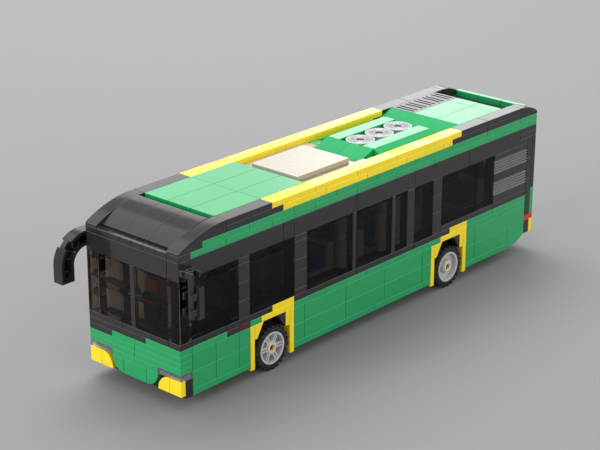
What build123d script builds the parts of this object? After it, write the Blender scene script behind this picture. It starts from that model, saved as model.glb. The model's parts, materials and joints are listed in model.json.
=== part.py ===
"""Brick-built toy city bus.

The bus stands on its wheels with +X forward, +Y to its left and +Z up.
The origin lies on the ground, under the middle of the whole outline.
Lengths are counted in studs behind the front face, widths in studs from the
middle line (left is positive) and heights in plates above the ground.
"""
from build123d import *
from math import cos, radians, sin
import os

# Driving dimensions of the brick system, in millimetres
STUD = 8.0  # pitch of the studs, the module of lengths and widths
PLATE = 3.2  # height of one plate; three plates make a brick
PLAY = 0.2  # play between neighbouring bricks of one course
BED = 0.05  # play between one course and the next
STUD_RADIUS = 2.4
BRICK_WALL = 1.4  # wall of a hollow see-through brick
PLATE_WALL = 1.5  # outer wall of a chassis plate, seen from below
PLATE_ROOF = 1.0  # closed top of a hollow piece
TUBE_RADIUS = 3.25  # tubes under the chassis plates
PANE = 3.0  # thickness of a flat pane
SHELL = 1.6  # thin wall of a window panel
BAR_RADIUS = 1.6  # round bars: grab poles and the left mirror's arm
CLIP_PLAY = 0.1  # play between a bar and the jaws that hold it
GRILLE_BARS = 5  # raised bars of a grille tile in a side wall
DECK_SLOTS = 2  # slots of a grille tile on the roof
GRILLE_DEPTH = 1.0

# Driving dimensions of the body, in studs along and across, in plates upward
BODY_STUDS = 36  # length of the body
HALF_WIDTH = 4  # half of the body's width
INSIDE = HALF_WIDTH - 1  # half of the width between the side walls, which are a stud thick
TILE = 0.4  # thickness of a tile set on edge, in studs
TILE_RISE = STUD / PLATE  # height of a tile set on edge, in plates
SKIRT = 2  # lower edge of the body
FLOOR = SKIRT + 4  # top of the floor
BELT = FLOOR + 3  # top of the wall bricks, where the stepped sill begins
SILL = BELT + 2  # lower edge of the windows
WINDOW = 10  # height of the windows
HEAD = SILL + WINDOW  # upper edge of the windows
CEILING = HEAD + 3  # underside of the roof plates
ROOF = CEILING + 2  # top of the roof plates
TOP = ROOF + 2  # top of the rails and roof units

# Stations along the body, in studs behind the front face
ARCH = 4  # length of a wheel arch
CAB = 1  # rear of the front wall
FRONT_ARCH = 6
FRONT_ARCH_END = FRONT_ARCH + ARCH
REAR_ARCH = BODY_STUDS - 12
REAR_ARCH_END = REAR_ARCH + ARCH
TAIL = BODY_STUDS - 1  # front of the rear wall
DECK_END = TAIL - 2  # rear edge of the roof's rear deck and of the chassis
GRILLE_START = TAIL - 4  # front edge of the grille field in the side walls
DOME_END = 4  # rear end of the dome

# Driving dimensions of the wheels, in millimetres
TYRE_RADIUS = 12.0
TYRE_WIDTH = 7.2
TREAD_DEPTH = 1.0
TREAD_LUGS = 23
LUG_WIDTH = 1.7
RIM_RADIUS = 8.6
RIM_WALL = 1.0
RIM_DISH = {"front": 5.0, "rear": 3.0}  # depth of the dished face
HUB_RADIUS = 3.7
HUB_SINK = 0.8  # from the rim's outer edge to the hub and spokes
SPOKE_PAIRS = 6
SPOKE_WIDTH = 0.9
SPOKE_GAP = 1.5  # between the middles of two spokes of a pair
PIN_RADIUS = 2.4
PIN_BORE = 1.5
PIN_SINK = 4.0  # depth of the hole in a pin's outer end
RUNNING_PLAY = 0.06  # radial play of a rim on its pin
SEAT_PLAY = 0.02  # radial play of a tyre on its rim
WHEEL_SIDE_PLAY = 0.5  # from a rim's inner end to the brick behind it
AXLE_HEIGHT = TYRE_RADIUS
ARCHES = ((FRONT_ARCH, "front"), (REAR_ARCH, "rear"))

# Driving dimensions of the right mirror's arm, in millimetres
MIRROR_REACH = 2 * STUD  # how far the arm stands ahead of the front face
ARM_PLATES = 2  # plates laid side by side that make up the arm's width
ARM_STUD = 1.6  # height of the studs on the arm's outer face
NOTCH_DEPTH = 2.4  # cut into the bend on both sides of a middle strip
NOTCH_STRIP = 3.0
NOTCH_TURN = 16  # degrees of the bend that the notch takes

LEFT, RIGHT = 1, -1
SIDES = (("left", LEFT), ("right", RIGHT))
X_FRONT = (BODY_STUDS * STUD - MIRROR_REACH) / 2

# Window posts between the arches: middle as a share of that stretch, width in studs
POSTS = ((0.414, 0.4), (0.7, 0.4), (0.829, 0.8))
FIRST_POST_END = FRONT_ARCH_END + 1.2
post_edges = []
for share, width in POSTS:
    middle = FRONT_ARCH_END + share * (REAR_ARCH - FRONT_ARCH_END)
    post_edges.append((middle - width / 2, middle + width / 2))

# Doorways in the right wall: front door at the cab, middle door between two posts
DOORS = ((CAB, FRONT_ARCH - 1), (post_edges[0][1], post_edges[1][1]))
DOOR_FOOT = SKIRT + 1
DOOR_FRAME = 2.4  # width of a door leaf's frame, millimetres


def x_at(studs):
    """Place along the bus of a line so many studs behind the front face."""
    return X_FRONT - studs * STUD


def y_at(studs):
    """Place across the bus, in studs from the middle line."""
    return studs * STUD


def z_at(plates):
    """Height of a plate level above the ground."""
    return plates * PLATE


def side_plane(y_left):
    """Plane of a side profile drawn in X and Z; it is extruded to the right."""
    return Plane.XZ.offset(-y_left)


def across(side, near, far):
    """Right and left edge, in studs, of a piece between two rows on one side."""
    return sorted((side * near, side * far))


def bond(start, end, first, further):
    """Joints of a course of bricks: one first brick, then further ones up to the end."""
    joints = [start]
    step = first
    while joints[-1] + step < end:
        joints.append(joints[-1] + step)
        step = further
    joints.append(end)
    return list(zip(joints[:-1], joints[1:]))


def lay(s0, s1, y0, y1, k0, k1):
    """One brick between two stud lines, two rows and two plate levels."""
    middle = ((x_at(s0) + x_at(s1)) / 2, (y_at(y0) + y_at(y1)) / 2, z_at(k0))
    with Locations(middle):
        Box(
            (s1 - s0) * STUD - PLAY,
            abs(y1 - y0) * STUD - PLAY,
            (k1 - k0) * PLATE - BED,
            align=(Align.CENTER, Align.CENTER, Align.MIN),
        )


def clear_runs(side, s0, s1, k0):
    """The stretches of a course that no doorway takes away."""
    runs = [(s0, s1)]
    if side == RIGHT and DOOR_FOOT <= k0 < HEAD:
        for door0, door1 in DOORS:
            cut = []
            for start, end in runs:
                cut += [(start, min(end, door0)), (max(start, door1), end)]
            runs = [(start, end) for start, end in cut if end > start + TILE / 2]
    return runs


def lay_wall(side, s0, s1, k0, k1):
    """One brick of a side wall, which is a stud thick; the doorways stay clear."""
    for start, end in clear_runs(side, s0, s1, k0):
        lay(start, end, side * INSIDE, side * HALF_WIDTH, k0, k1)


def lay_courses(side, table):
    """Courses of a side wall, each a bond of bricks."""
    for start, end, first, further, k0, k1 in table:
        for s0, s1 in bond(start, end, first, further):
            lay_wall(side, s0, s1, k0, k1)


def lay_slope(s_low, s_high, y0, y1, k0, k_lip, k1):
    """A slope that rises in one straight face from a lip to its full height."""
    toward = 1 if s_high > s_low else -1
    low = x_at(s_low) - toward * PLAY / 2
    high = x_at(s_high) + toward * PLAY / 2
    top = z_at(k1) - BED
    with BuildSketch(side_plane(y_at(y1) - PLAY / 2)) as profile:
        with BuildLine():
            Polyline((low, z_at(k0)), (low, z_at(k_lip)), (high, top), (high, z_at(k0)), close=True)
        make_face()
    extrude(profile.sketch, amount=(y1 - y0) * STUD - PLAY)


def lay_curved_slope(s_lip, s_full, y0, y1, k0, k_lip, k1):
    """A slope whose top falls in one arc from full height to a thin lip."""
    toward = 1 if s_full > s_lip else -1
    lip = x_at(s_lip) - toward * PLAY / 2
    full = x_at(s_full) + toward * PLAY / 2
    top = z_at(k1) - BED
    with BuildSketch(side_plane(y_at(y1) - PLAY / 2)) as profile:
        with BuildLine():
            TangentArc((full, top), (lip, z_at(k_lip)), tangent=(toward, 0))
            Polyline((lip, z_at(k_lip)), (lip, z_at(k0)), (full, z_at(k0)), (full, top))
        make_face()
    extrude(profile.sketch, amount=(y1 - y0) * STUD - PLAY)


def lay_round_tile(x_back, y0, y1, k0, k1, rounded):
    """A square tile on edge with one quarter-round corner, given by its signs in Y and Z."""
    width = (y1 - y0) * STUD - PLAY
    height = (k1 - k0) * PLATE - BED
    middle = ((y_at(y0) + y_at(y1)) / 2, z_at(k0) + height / 2)
    with BuildSketch(Plane.YZ.offset(x_back)) as profile:
        with Locations(middle):
            Rectangle(width, height)
        corner = profile.vertices().sort_by(lambda v: rounded[0] * v.X + rounded[1] * v.Y)[-1]
        fillet(corner, radius=min(width, height) - PLAY)
    extrude(profile.sketch, amount=TILE * STUD - PLAY)


def lay_grille(side, s0, s1, k0, k1):
    """A grille tile on edge in a side wall: a plate with raised lengthwise bars."""
    outer = HALF_WIDTH * STUD - PLAY / 2
    back = outer - TILE * STUD + PLAY
    pitch = ((k1 - k0) * PLATE - BED) / (2 * GRILLE_BARS)
    middle = (x_at(s0) + x_at(s1)) / 2
    length = (s1 - s0) * STUD - PLAY
    with Locations((middle, side * (back + outer - GRILLE_DEPTH) / 2, z_at(k0))):
        Box(
            length,
            outer - GRILLE_DEPTH - back,
            (k1 - k0) * PLATE - BED,
            align=(Align.CENTER, Align.CENTER, Align.MIN),
        )
    for bar in range(GRILLE_BARS):
        with Locations((middle, side * (outer - GRILLE_DEPTH / 2), z_at(k0) + 2 * bar * pitch)):
            Box(length, GRILLE_DEPTH, pitch, align=(Align.CENTER, Align.CENTER, Align.MIN))


def lay_arch_slope(side, start, shape):
    """A slanting corner piece inside a wheel arch."""
    edge, low_tip, high_tip, k0, k1 = shape
    toward = 1 if high_tip > edge else -1
    x_edge = x_at(start + edge) - toward * PLAY / 2
    y_left = across(side, INSIDE, HALF_WIDTH)[1]
    with BuildSketch(side_plane(y_at(y_left) - PLAY / 2)) as profile:
        with BuildLine():
            Polyline(
                (x_edge, z_at(k0)),
                (x_at(start + low_tip), z_at(k0)),
                (x_at(start + high_tip), z_at(k1) - BED),
                (x_edge, z_at(k1) - BED),
                close=True,
            )
        make_face()
    extrude(profile.sketch, amount=STUD - PLAY)


def lay_window_panel(side, s0, s1, k0, k1):
    """A window panel: a stud-deep foot and head with a thin wall along the outside."""
    outer = side * (HALF_WIDTH * STUD - PLAY / 2)
    inner = side * (INSIDE * STUD + PLAY / 2)
    wall = outer - side * SHELL
    low = z_at(k0)
    high = z_at(k1) - BED
    with BuildSketch(Plane.YZ.offset(x_at(s1) + PLAY / 2)) as profile:
        with BuildLine():
            Polyline(
                (outer, low),
                (outer, high),
                (inner, high),
                (inner, high - SHELL),
                (wall, high - SHELL),
                (wall, low + SHELL),
                (inner, low + SHELL),
                (inner, low),
                close=True,
            )
        make_face()
    extrude(profile.sketch, amount=(s1 - s0) * STUD - PLAY)


def lay_screen_panel(y0, y1, k0, k1):
    """A panel of the windscreen: a stud-deep foot and head behind a thin wall."""
    front = x_at(0) - PLAY / 2
    back = x_at(CAB) + PLAY / 2
    wall = front - SHELL
    low = z_at(k0)
    high = z_at(k1) - BED
    with BuildSketch(side_plane(y_at(y1) - PLAY / 2)) as profile:
        with BuildLine():
            Polyline(
                (front, low),
                (front, high),
                (back, high),
                (back, high - SHELL),
                (wall, high - SHELL),
                (wall, low + SHELL),
                (back, low + SHELL),
                (back, low),
                close=True,
            )
        make_face()
    extrude(profile.sketch, amount=(y1 - y0) * STUD - PLAY)


def lay_pane(side, s0, s1, k0, k1):
    """A flat pane flush with the outside of a side wall."""
    outer = HALF_WIDTH * STUD - PLAY / 2
    with Locations(((x_at(s0) + x_at(s1)) / 2, side * (outer - PANE / 2), z_at(k0))):
        Box(
            (s1 - s0) * STUD - PLAY,
            PANE,
            (k1 - k0) * PLATE - BED,
            align=(Align.CENTER, Align.CENTER, Align.MIN),
        )


def lay_seat(s0, y0, k0):
    """A one-piece seat of a low block and an upright back."""
    front = x_at(s0)
    back = front - SEAT_DEPTH
    low = z_at(k0)
    with BuildSketch(side_plane(y_at(y0 + SEAT_STUDS) - PLAY)) as profile:
        with BuildLine():
            Polyline(
                (front, low),
                (front, low + SEAT_RISE),
                (back, low + SEAT_RISE),
                (back, low + SEAT_TOP),
                (back - SEAT_BACK, low + SEAT_TOP),
                (back - SEAT_BACK, low),
                close=True,
            )
        make_face()
    extrude(profile.sketch, amount=SEAT_STUDS * STUD - 2 * PLAY)


def lay_pads(s0, y0, k0):
    """The two flat pads of a seat, one on its block and one on its back."""
    back = x_at(s0) - SEAT_DEPTH
    middle = y_at(y0 + SEAT_STUDS / 2)
    width = SEAT_STUDS * STUD - 2 * PLATE_WALL
    block_top = z_at(k0) + SEAT_RISE + BED
    with Locations((back + PAD + PLAY, middle, block_top)):
        Box(SEAT_DEPTH - PAD - PLAY, width, PAD, align=(Align.MIN, Align.CENTER, Align.MIN))
    with Locations((back + BED, middle, block_top)):
        Box(PAD, width, SEAT_TOP - SEAT_RISE - PLATE_WALL, align=(Align.MIN, Align.CENTER, Align.MIN))


def finish(builder, name):
    """Label a finished piece and write it."""
    builder.part.label = name
    export_step(builder.part, f"parts/{name}.step")


os.makedirs("parts", exist_ok=True)

# Chassis plates, open below; the first one shows a tube
MID_JOINT = (FRONT_ARCH_END + REAR_ARCH) // 2
# columns: front stud line, rear stud line, half width in studs
CHASSIS = (
    (CAB, FRONT_ARCH, INSIDE),
    (FRONT_ARCH, FRONT_ARCH_END, INSIDE - 1),
    (FRONT_ARCH_END, MID_JOINT, INSIDE),
    (MID_JOINT, REAR_ARCH, INSIDE),
    (REAR_ARCH, REAR_ARCH_END, INSIDE - 1),
    (REAR_ARCH_END, DECK_END, INSIDE),
)
TUBE_LINE = CAB + 1  # stud line of the tube
cavity = PLATE - PLATE_ROOF
with BuildPart() as chassis_plates:
    for s0, s1, half in CHASSIS:
        lay(s0, s1, -half, half, SKIRT, SKIRT + 1)
    for s0, s1, half in CHASSIS:
        with Locations(((x_at(s0) + x_at(s1)) / 2, 0, z_at(SKIRT))):
            Box(
                (s1 - s0) * STUD - PLAY - 2 * PLATE_WALL,
                2 * half * STUD - PLAY - 2 * PLATE_WALL,
                cavity,
                align=(Align.CENTER, Align.CENTER, Align.MIN),
                mode=Mode.SUBTRACT,
            )
    with Locations((x_at(TUBE_LINE), 0, z_at(SKIRT))):
        Cylinder(TUBE_RADIUS, cavity, align=(Align.CENTER, Align.CENTER, Align.MIN))
        Cylinder(
            STUD_RADIUS,
            cavity,
            align=(Align.CENTER, Align.CENTER, Align.MIN),
            mode=Mode.SUBTRACT,
        )
finish(chassis_plates, "chassis_plates")

# Floor bricks on the chassis, one course high, running on to the rear wall
with BuildPart() as floor_bricks:
    for s0, s1, half in CHASSIS:
        lay(s0, TAIL if s1 == DECK_END else s1, -half, half, SKIRT + 1, FLOOR)
finish(floor_bricks, "floor_bricks")

# Black bricks behind each wheel
# columns: front and rear edge behind the arch's start, lower and upper plate level
ARCH_BACK = (
    (0, 1, SKIRT, FLOOR - 1),
    (1, ARCH - 1, SKIRT, FLOOR - 1),
    (ARCH - 1, ARCH, SKIRT, FLOOR - 1),
    (0, ARCH, FLOOR - 1, FLOOR),
    (0, ARCH, FLOOR, BELT),
)
with BuildPart() as arch_bricks:
    for start, axle in ARCHES:
        for name, side in SIDES:
            for s0, s1, k0, k1 in ARCH_BACK:
                lay(start + s0, start + s1, side * (INSIDE - 1), side * INSIDE, k0, k1)
finish(arch_bricks, "arch_bricks")

# Wheels: a lugged tyre on a dished rim, spoked at the front and plain at the rear
tyre_outer = HALF_WIDTH * STUD - PLAY
tyre_inner = tyre_outer - TYRE_WIDTH
brick_face = INSIDE * STUD - PLAY / 2
rim_inner = brick_face + WHEEL_SIDE_PLAY
hub_face = tyre_outer - HUB_SINK
lug_pitch = radians(360 / TREAD_LUGS)
lug_half = LUG_WIDTH / 2 / TYRE_RADIUS


# Corner points of the lugs round a tyre; one corner stands on the ground
tread_outline = []
for lug in range(TREAD_LUGS):
    lug_middle = radians(-90) + lug_half + lug * lug_pitch
    for angle, radius in (
        (lug_middle - lug_half, TYRE_RADIUS - TREAD_DEPTH),
        (lug_middle - lug_half, TYRE_RADIUS),
        (lug_middle + lug_half, TYRE_RADIUS),
        (lug_middle + lug_half, TYRE_RADIUS - TREAD_DEPTH),
    ):
        tread_outline.append((radius * cos(angle), radius * sin(angle)))

for start, axle in ARCHES:
    for name, side in SIDES:
        centre = (x_at(start + ARCH / 2), 0, AXLE_HEIGHT)
        wheel_plane = Plane(centre, x_dir=(side, 0, 0), z_dir=(0, side, 0))
        tyre_plane = Plane(centre, x_dir=(1, 0, 0), z_dir=(0, -1, 0))
        tyre_left = max(side * tyre_inner, side * tyre_outer)
        with BuildPart() as tyre:
            with BuildSketch(tyre_plane.offset(-tyre_left)):
                with BuildLine():
                    Polyline(*tread_outline, close=True)
                make_face()
                Circle(RIM_RADIUS + SEAT_PLAY, mode=Mode.SUBTRACT)
            extrude(amount=TYRE_WIDTH)
        finish(tyre, f"tyre_{axle}_{name}")

        dish = RIM_DISH[axle]
        with BuildPart() as rim:
            with BuildSketch(wheel_plane.offset(rim_inner)):
                Circle(RIM_RADIUS)
            extrude(amount=tyre_outer - rim_inner)
            with BuildSketch(wheel_plane.offset(tyre_outer - dish)):
                Circle(RIM_RADIUS - RIM_WALL)
                Circle(HUB_RADIUS, mode=Mode.SUBTRACT)
            extrude(amount=dish, mode=Mode.SUBTRACT)
            with BuildSketch(wheel_plane.offset(hub_face)):
                Circle(HUB_RADIUS)
            extrude(amount=HUB_SINK, mode=Mode.SUBTRACT)
            if axle == "front":
                spoke_reach = RIM_RADIUS - RIM_WALL / 2
                with BuildSketch(wheel_plane.offset(tyre_outer - dish)):
                    with PolarLocations(0, SPOKE_PAIRS):
                        for shift in (-SPOKE_GAP / 2, SPOKE_GAP / 2):
                            with Locations((spoke_reach / 2, shift)):
                                Rectangle(spoke_reach, SPOKE_WIDTH)
                extrude(amount=dish - HUB_SINK)
            with BuildSketch(wheel_plane.offset(rim_inner)):
                Circle(PIN_RADIUS + RUNNING_PLAY)
            extrude(amount=tyre_outer - rim_inner, mode=Mode.SUBTRACT)
        finish(rim, f"rim_{axle}_{name}")

# Pins that carry the wheels, each with a hole in its outer end
with BuildPart() as axle_pins:
    for start, axle in ARCHES:
        for name, side in SIDES:
            pin_plane = Plane((x_at(start + ARCH / 2), 0, AXLE_HEIGHT), z_dir=(0, side, 0))
            with BuildSketch(pin_plane.offset(brick_face)):
                Circle(PIN_RADIUS)
            extrude(amount=hub_face - brick_face)
            with BuildSketch(pin_plane.offset(hub_face - PIN_SINK)):
                Circle(PIN_BORE)
            extrude(amount=PIN_SINK, mode=Mode.SUBTRACT)
finish(axle_pins, "axle_pins")

# Side walls, laid course by course
# columns: start and end in studs, first brick, further bricks, lower and upper plate level
GREEN_WALL = (
    (CAB, FRONT_ARCH, 5, 5, SKIRT, SKIRT + 1),
    (FRONT_ARCH_END, REAR_ARCH, 8, 6, SKIRT, SKIRT + 1),
    (REAR_ARCH_END, DECK_END, 5, 5, SKIRT, SKIRT + 1),
    (CAB, FRONT_ARCH, 2, 2, SKIRT + 1, FLOOR),
    (FRONT_ARCH_END, REAR_ARCH, 1, 4, SKIRT + 1, FLOOR),
    (REAR_ARCH_END, DECK_END, 1, 4, SKIRT + 1, FLOOR),
    (CAB, FRONT_ARCH, 2, 2, FLOOR, BELT),
    (FRONT_ARCH_END, REAR_ARCH, 1, 4, FLOOR, BELT),
    (REAR_ARCH_END, TAIL, 1, 6, FLOOR, BELT),
    (CAB, FRONT_ARCH - 2, 3, 3, BELT, BELT + 1),
    (FRONT_ARCH, FRONT_ARCH + 1, 1, 1, BELT, BELT + 1),
    (FRONT_ARCH_END, REAR_ARCH + 1, 3, 4, BELT, BELT + 1),
    (REAR_ARCH_END, TAIL, 4, 4, BELT, BELT + 1),
    (REAR_ARCH_END, TAIL, 3, 4, BELT + 1, SILL),
)
YELLOW_WALL = (
    (FRONT_ARCH + 1, FRONT_ARCH_END, 3, 3, BELT, BELT + 1),
    (REAR_ARCH + 1, REAR_ARCH_END, 3, 3, BELT, BELT + 1),
    (FRONT_ARCH + 2, FRONT_ARCH_END, 2, 2, BELT + 1, SILL),
    (REAR_ARCH + 2, REAR_ARCH_END, 2, 2, BELT + 1, SILL),
)
BLACK_WALL = (
    (FRONT_ARCH - 2, FRONT_ARCH - 1, 1, 1, BELT, BELT + 1),
    (CAB, FRONT_ARCH + 2, 3, 4, BELT + 1, SILL),
    (FRONT_ARCH_END, REAR_ARCH + 2, 6, 6, BELT + 1, SILL),
    (REAR_ARCH + 1, TAIL, 6, 4, SILL, SILL + 1),
    (CAB, FRONT_ARCH_END - 1, 8, 8, HEAD, CEILING),
    (FRONT_ARCH_END - 1, TAIL - 1, 1, 6, HEAD, CEILING),
    (TAIL - 1, TAIL, 1, 1, HEAD, HEAD + 1),
    (TAIL - 1, BODY_STUDS, 2, 2, HEAD + 1, HEAD + 2),
    (TAIL - 1, BODY_STUDS, 2, 2, HEAD + 2, CEILING),
)
# Pillars between the windows
# columns: front edge, rear edge, plate levels of the joints
PILLARS = (
    (FRONT_ARCH - 1, FRONT_ARCH, (SILL, SILL + 3, SILL + 6, HEAD - 1, HEAD)),
    (FRONT_ARCH_END, FIRST_POST_END, (SILL, SILL + 1, SILL + 4, HEAD - 4, HEAD - 1, HEAD)),
    (*post_edges[0], (SILL, HEAD)),
    (*post_edges[1], (SILL, HEAD)),
    (*post_edges[2], (SILL, HEAD)),
    (REAR_ARCH, REAR_ARCH + 1, (SILL, SILL + 4, SILL + 7, HEAD)),
)
# Field of grille tiles behind the last window: plates between two rows of tiles on edge
GRILLE_ROWS = (SILL + 2.5, HEAD - 1 - TILE_RISE)  # lower plate levels of the tiles
GRILLE_PLATES = (
    (SILL + 1, GRILLE_ROWS[0]),
    (GRILLE_ROWS[0] + TILE_RISE, GRILLE_ROWS[1]),
    (HEAD - 1, HEAD),
)
GRILLE_TILE = 2  # length of a grille tile in studs
# Curved tail of the skirt: stud lines, levels of the curve's two ends, upper level
TAIL_CURVE = (DECK_END, TAIL, SKIRT, SKIRT + 1.6, FLOOR)
# Slanting corners of the arches: edge against the strip, lower and upper tip, levels
ARCH_SLOPE = (TILE, 0.6, 1.2, BELT - TILE_RISE, BELT)
ARCH_BLACK_SLOPE = (ARCH - 2 * TILE, ARCH - 0.85, ARCH - 1.55, BELT - TILE_RISE, BELT)
# Strips of the arches, tiles on edge
# columns: front and rear edge behind the arch's start, lower and upper plate level
STRIP_FOOT = BELT - 3 * TILE_RISE
ARCH_STRIPS = (
    (0, TILE, STRIP_FOOT, BELT - TILE_RISE),
    (0, TILE, BELT - TILE_RISE, BELT),
    (ARCH - 2 * TILE, ARCH - TILE, BELT - TILE_RISE, BELT),
    (ARCH - TILE, ARCH, BELT - TILE_RISE, BELT),
    (ARCH - TILE, ARCH, STRIP_FOOT, BELT - TILE_RISE),
)

for name, side in SIDES:
    with BuildPart() as green_bricks:
        lay_courses(side, GREEN_WALL)
        s0, s1, k_low, k_high, k_top = TAIL_CURVE
        front = x_at(s0) - PLAY / 2
        back = x_at(s1) + PLAY / 2
        top = z_at(k_top) - BED
        y_left = across(side, INSIDE, HALF_WIDTH)[1]
        with BuildSketch(side_plane(y_at(y_left) - PLAY / 2)):
            with BuildLine():
                TangentArc((front, z_at(k_low)), (back, z_at(k_high)), tangent=(-1, 0))
                Polyline((back, z_at(k_high)), (back, top), (front, top), (front, z_at(k_low)))
            make_face()
        extrude(amount=STUD - PLAY)
    finish(green_bricks, f"green_bricks_{name}")

    with BuildPart() as yellow_bricks:
        lay_courses(side, YELLOW_WALL)
        for start, axle in ARCHES:
            for s0, s1, k0, k1 in ARCH_STRIPS:
                lay(start + s0, start + s1, side * INSIDE, side * HALF_WIDTH, k0, k1)
            lay_arch_slope(side, start, ARCH_SLOPE)
    finish(yellow_bricks, f"yellow_bricks_{name}")

    with BuildPart() as black_bricks:
        lay_courses(side, BLACK_WALL)
        for s0, s1, joints in PILLARS:
            for k0, k1 in zip(joints[:-1], joints[1:]):
                lay_wall(side, s0, s1, k0, k1)
        for k0, k1 in GRILLE_PLATES:
            lay_wall(side, GRILLE_START, TAIL, k0, k1)
        for k0 in GRILLE_ROWS:
            lay(GRILLE_START, TAIL, side * INSIDE, side * (HALF_WIDTH - TILE), k0, k0 + TILE_RISE)
        for start, axle in ARCHES:
            lay_arch_slope(side, start, ARCH_BLACK_SLOPE)
    finish(black_bricks, f"black_bricks_{name}")

    with BuildPart() as side_grille:
        for k0 in GRILLE_ROWS:
            for s0, s1 in bond(GRILLE_START, TAIL, GRILLE_TILE, GRILLE_TILE):
                lay_grille(side, s0, s1, k0, k0 + TILE_RISE)
    finish(side_grille, f"side_grille_{name}")

# Side windows: panels under see-through plates, panels of the full height and flat panes
LOW_PANELS = ((CAB, FRONT_ARCH - 1), (FRONT_ARCH, FRONT_ARCH_END))
PANEL_PLATE = 2  # length of the plates over the low panels
FULL_PANELS = (
    (FIRST_POST_END, post_edges[0][0]),
    (post_edges[0][1], post_edges[1][0]),
    (post_edges[1][1], post_edges[2][0]),
    (post_edges[2][1], REAR_ARCH),
)
PANES = ((REAR_ARCH + 1, REAR_ARCH + 5), (REAR_ARCH + 5, GRILLE_START))
for name, side in SIDES:
    with BuildPart() as side_glass:
        for s0, s1 in LOW_PANELS:
            for start, end in clear_runs(side, s0, s1, SILL):
                lay_window_panel(side, start, end, SILL, HEAD - 1)
                for plate0, plate1 in bond(start, end, PANEL_PLATE, PANEL_PLATE):
                    lay_wall(side, plate0, plate1, HEAD - 1, HEAD)
        for s0, s1 in FULL_PANELS:
            for start, end in clear_runs(side, s0, s1, SILL):
                lay_window_panel(side, start, end, SILL, HEAD)
        for s0, s1 in PANES:
            lay_pane(side, s0, s1, SILL + 1, HEAD)
    finish(side_glass, f"side_glass_{name}")

# Doors in the right wall: two framed leaves in each doorway
door_leaves = []
for door0, door1 in DOORS:
    door_leaves += [(door0, (door0 + door1) / 2), ((door0 + door1) / 2, door1)]
leaf_face = -(HALF_WIDTH * STUD - PLAY / 2)
leaf_height = (HEAD - DOOR_FOOT) * PLATE - BED
leaf_middle = z_at(DOOR_FOOT) + leaf_height / 2
with BuildPart() as door_frames:
    for s0, s1 in door_leaves:
        width = (s1 - s0) * STUD - PLAY
        with BuildSketch(side_plane(leaf_face + PANE)):
            with Locations(((x_at(s0) + x_at(s1)) / 2, leaf_middle)):
                Rectangle(width, leaf_height)
                Rectangle(width - 2 * DOOR_FRAME, leaf_height - 2 * DOOR_FRAME, mode=Mode.SUBTRACT)
        extrude(amount=PANE)
finish(door_frames, "door_frames")

with BuildPart() as door_panes:
    for s0, s1 in door_leaves:
        width = (s1 - s0) * STUD - PLAY - 2 * DOOR_FRAME - PLAY
        with Locations(((x_at(s0) + x_at(s1)) / 2, leaf_face + PANE / 2, leaf_middle)):
            Box(width, SHELL, leaf_height - 2 * DOOR_FRAME - PLAY)
finish(door_panes, "door_panes")

# Bumpers front and rear: tiles on edge, quarter-round where the colours meet
LAMPS = FLOOR - 1  # plate level of the headlamps' lower edge
# columns: back of the tiles, their front stud line, lower plate level
BUMPERS = (
    (x_at(TILE) + PLAY / 2, 0, LAMPS - TILE_RISE),
    (x_at(BODY_STUDS) + PLAY / 2, BODY_STUDS - TILE, FLOOR - TILE_RISE),
)
with BuildPart() as bumper_yellow:
    for x_back, s0, k0 in BUMPERS:
        for name, side in SIDES:
            lay(s0, s0 + TILE, side * INSIDE, side * HALF_WIDTH, k0, k0 + TILE_RISE)
            y0, y1 = across(side, INSIDE - 1, INSIDE)
            lay_round_tile(x_back, y0, y1, k0, k0 + TILE_RISE, (-side, 1))
finish(bumper_yellow, "bumper_yellow")

with BuildPart() as bumper_green:
    for x_back, s0, k0 in BUMPERS:
        lay(s0, s0 + TILE, 2 - INSIDE, INSIDE - 2, k0, k0 + TILE_RISE)
        for name, side in SIDES:
            y0, y1 = across(side, INSIDE - 2, INSIDE - 1)
            lay_round_tile(x_back, y0, y1, k0, k0 + TILE_RISE, (side, -1))
finish(bumper_green, "bumper_green")

# Front end: the brick behind the bumper, lamps and stepped plates under the windscreen
with BuildPart() as front_brick:
    lay(TILE, CAB, -HALF_WIDTH, HALF_WIDTH, SKIRT, LAMPS)
finish(front_brick, "front_brick")

LAMP_STUDS = 2  # width of a lamp plate
LAMP_EDGE = HALF_WIDTH - LAMP_STUDS
with BuildPart() as headlamps:
    for name, side in SIDES:
        lay(0, CAB, side * LAMP_EDGE, side * HALF_WIDTH, LAMPS, FLOOR)
finish(headlamps, "headlamps")

# columns: right edge, left edge in studs, lower and upper plate level
FRONT_GREEN = (
    (-LAMP_EDGE, LAMP_EDGE, LAMPS, FLOOR),
    (-HALF_WIDTH, 0, FLOOR, FLOOR + 1),
    (0, HALF_WIDTH, FLOOR, FLOOR + 1),
    (-HALF_WIDTH, 0, FLOOR + 1, FLOOR + 2),
    (0, HALF_WIDTH, FLOOR + 1, FLOOR + 2),
    (-LAMP_EDGE, HALF_WIDTH, FLOOR + 2, BELT),
    (1, HALF_WIDTH, BELT, BELT + 1),
)
FRONT_BLACK = (
    (-HALF_WIDTH, -LAMP_EDGE, FLOOR + 2, BELT),
    (-HALF_WIDTH, 1, BELT, BELT + 1),
    (-HALF_WIDTH, -1, BELT + 1, SILL),
    (-1, INSIDE, BELT + 1, SILL),
    (INSIDE, HALF_WIDTH, BELT + 1, SILL),
)
with BuildPart() as front_green:
    for y0, y1, k0, k1 in FRONT_GREEN:
        lay(0, CAB, y0, y1, k0, k1)
finish(front_green, "front_green")

with BuildPart() as front_black:
    for y0, y1, k0, k1 in FRONT_BLACK:
        lay(0, CAB, y0, y1, k0, k1)
finish(front_black, "front_black")

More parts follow.
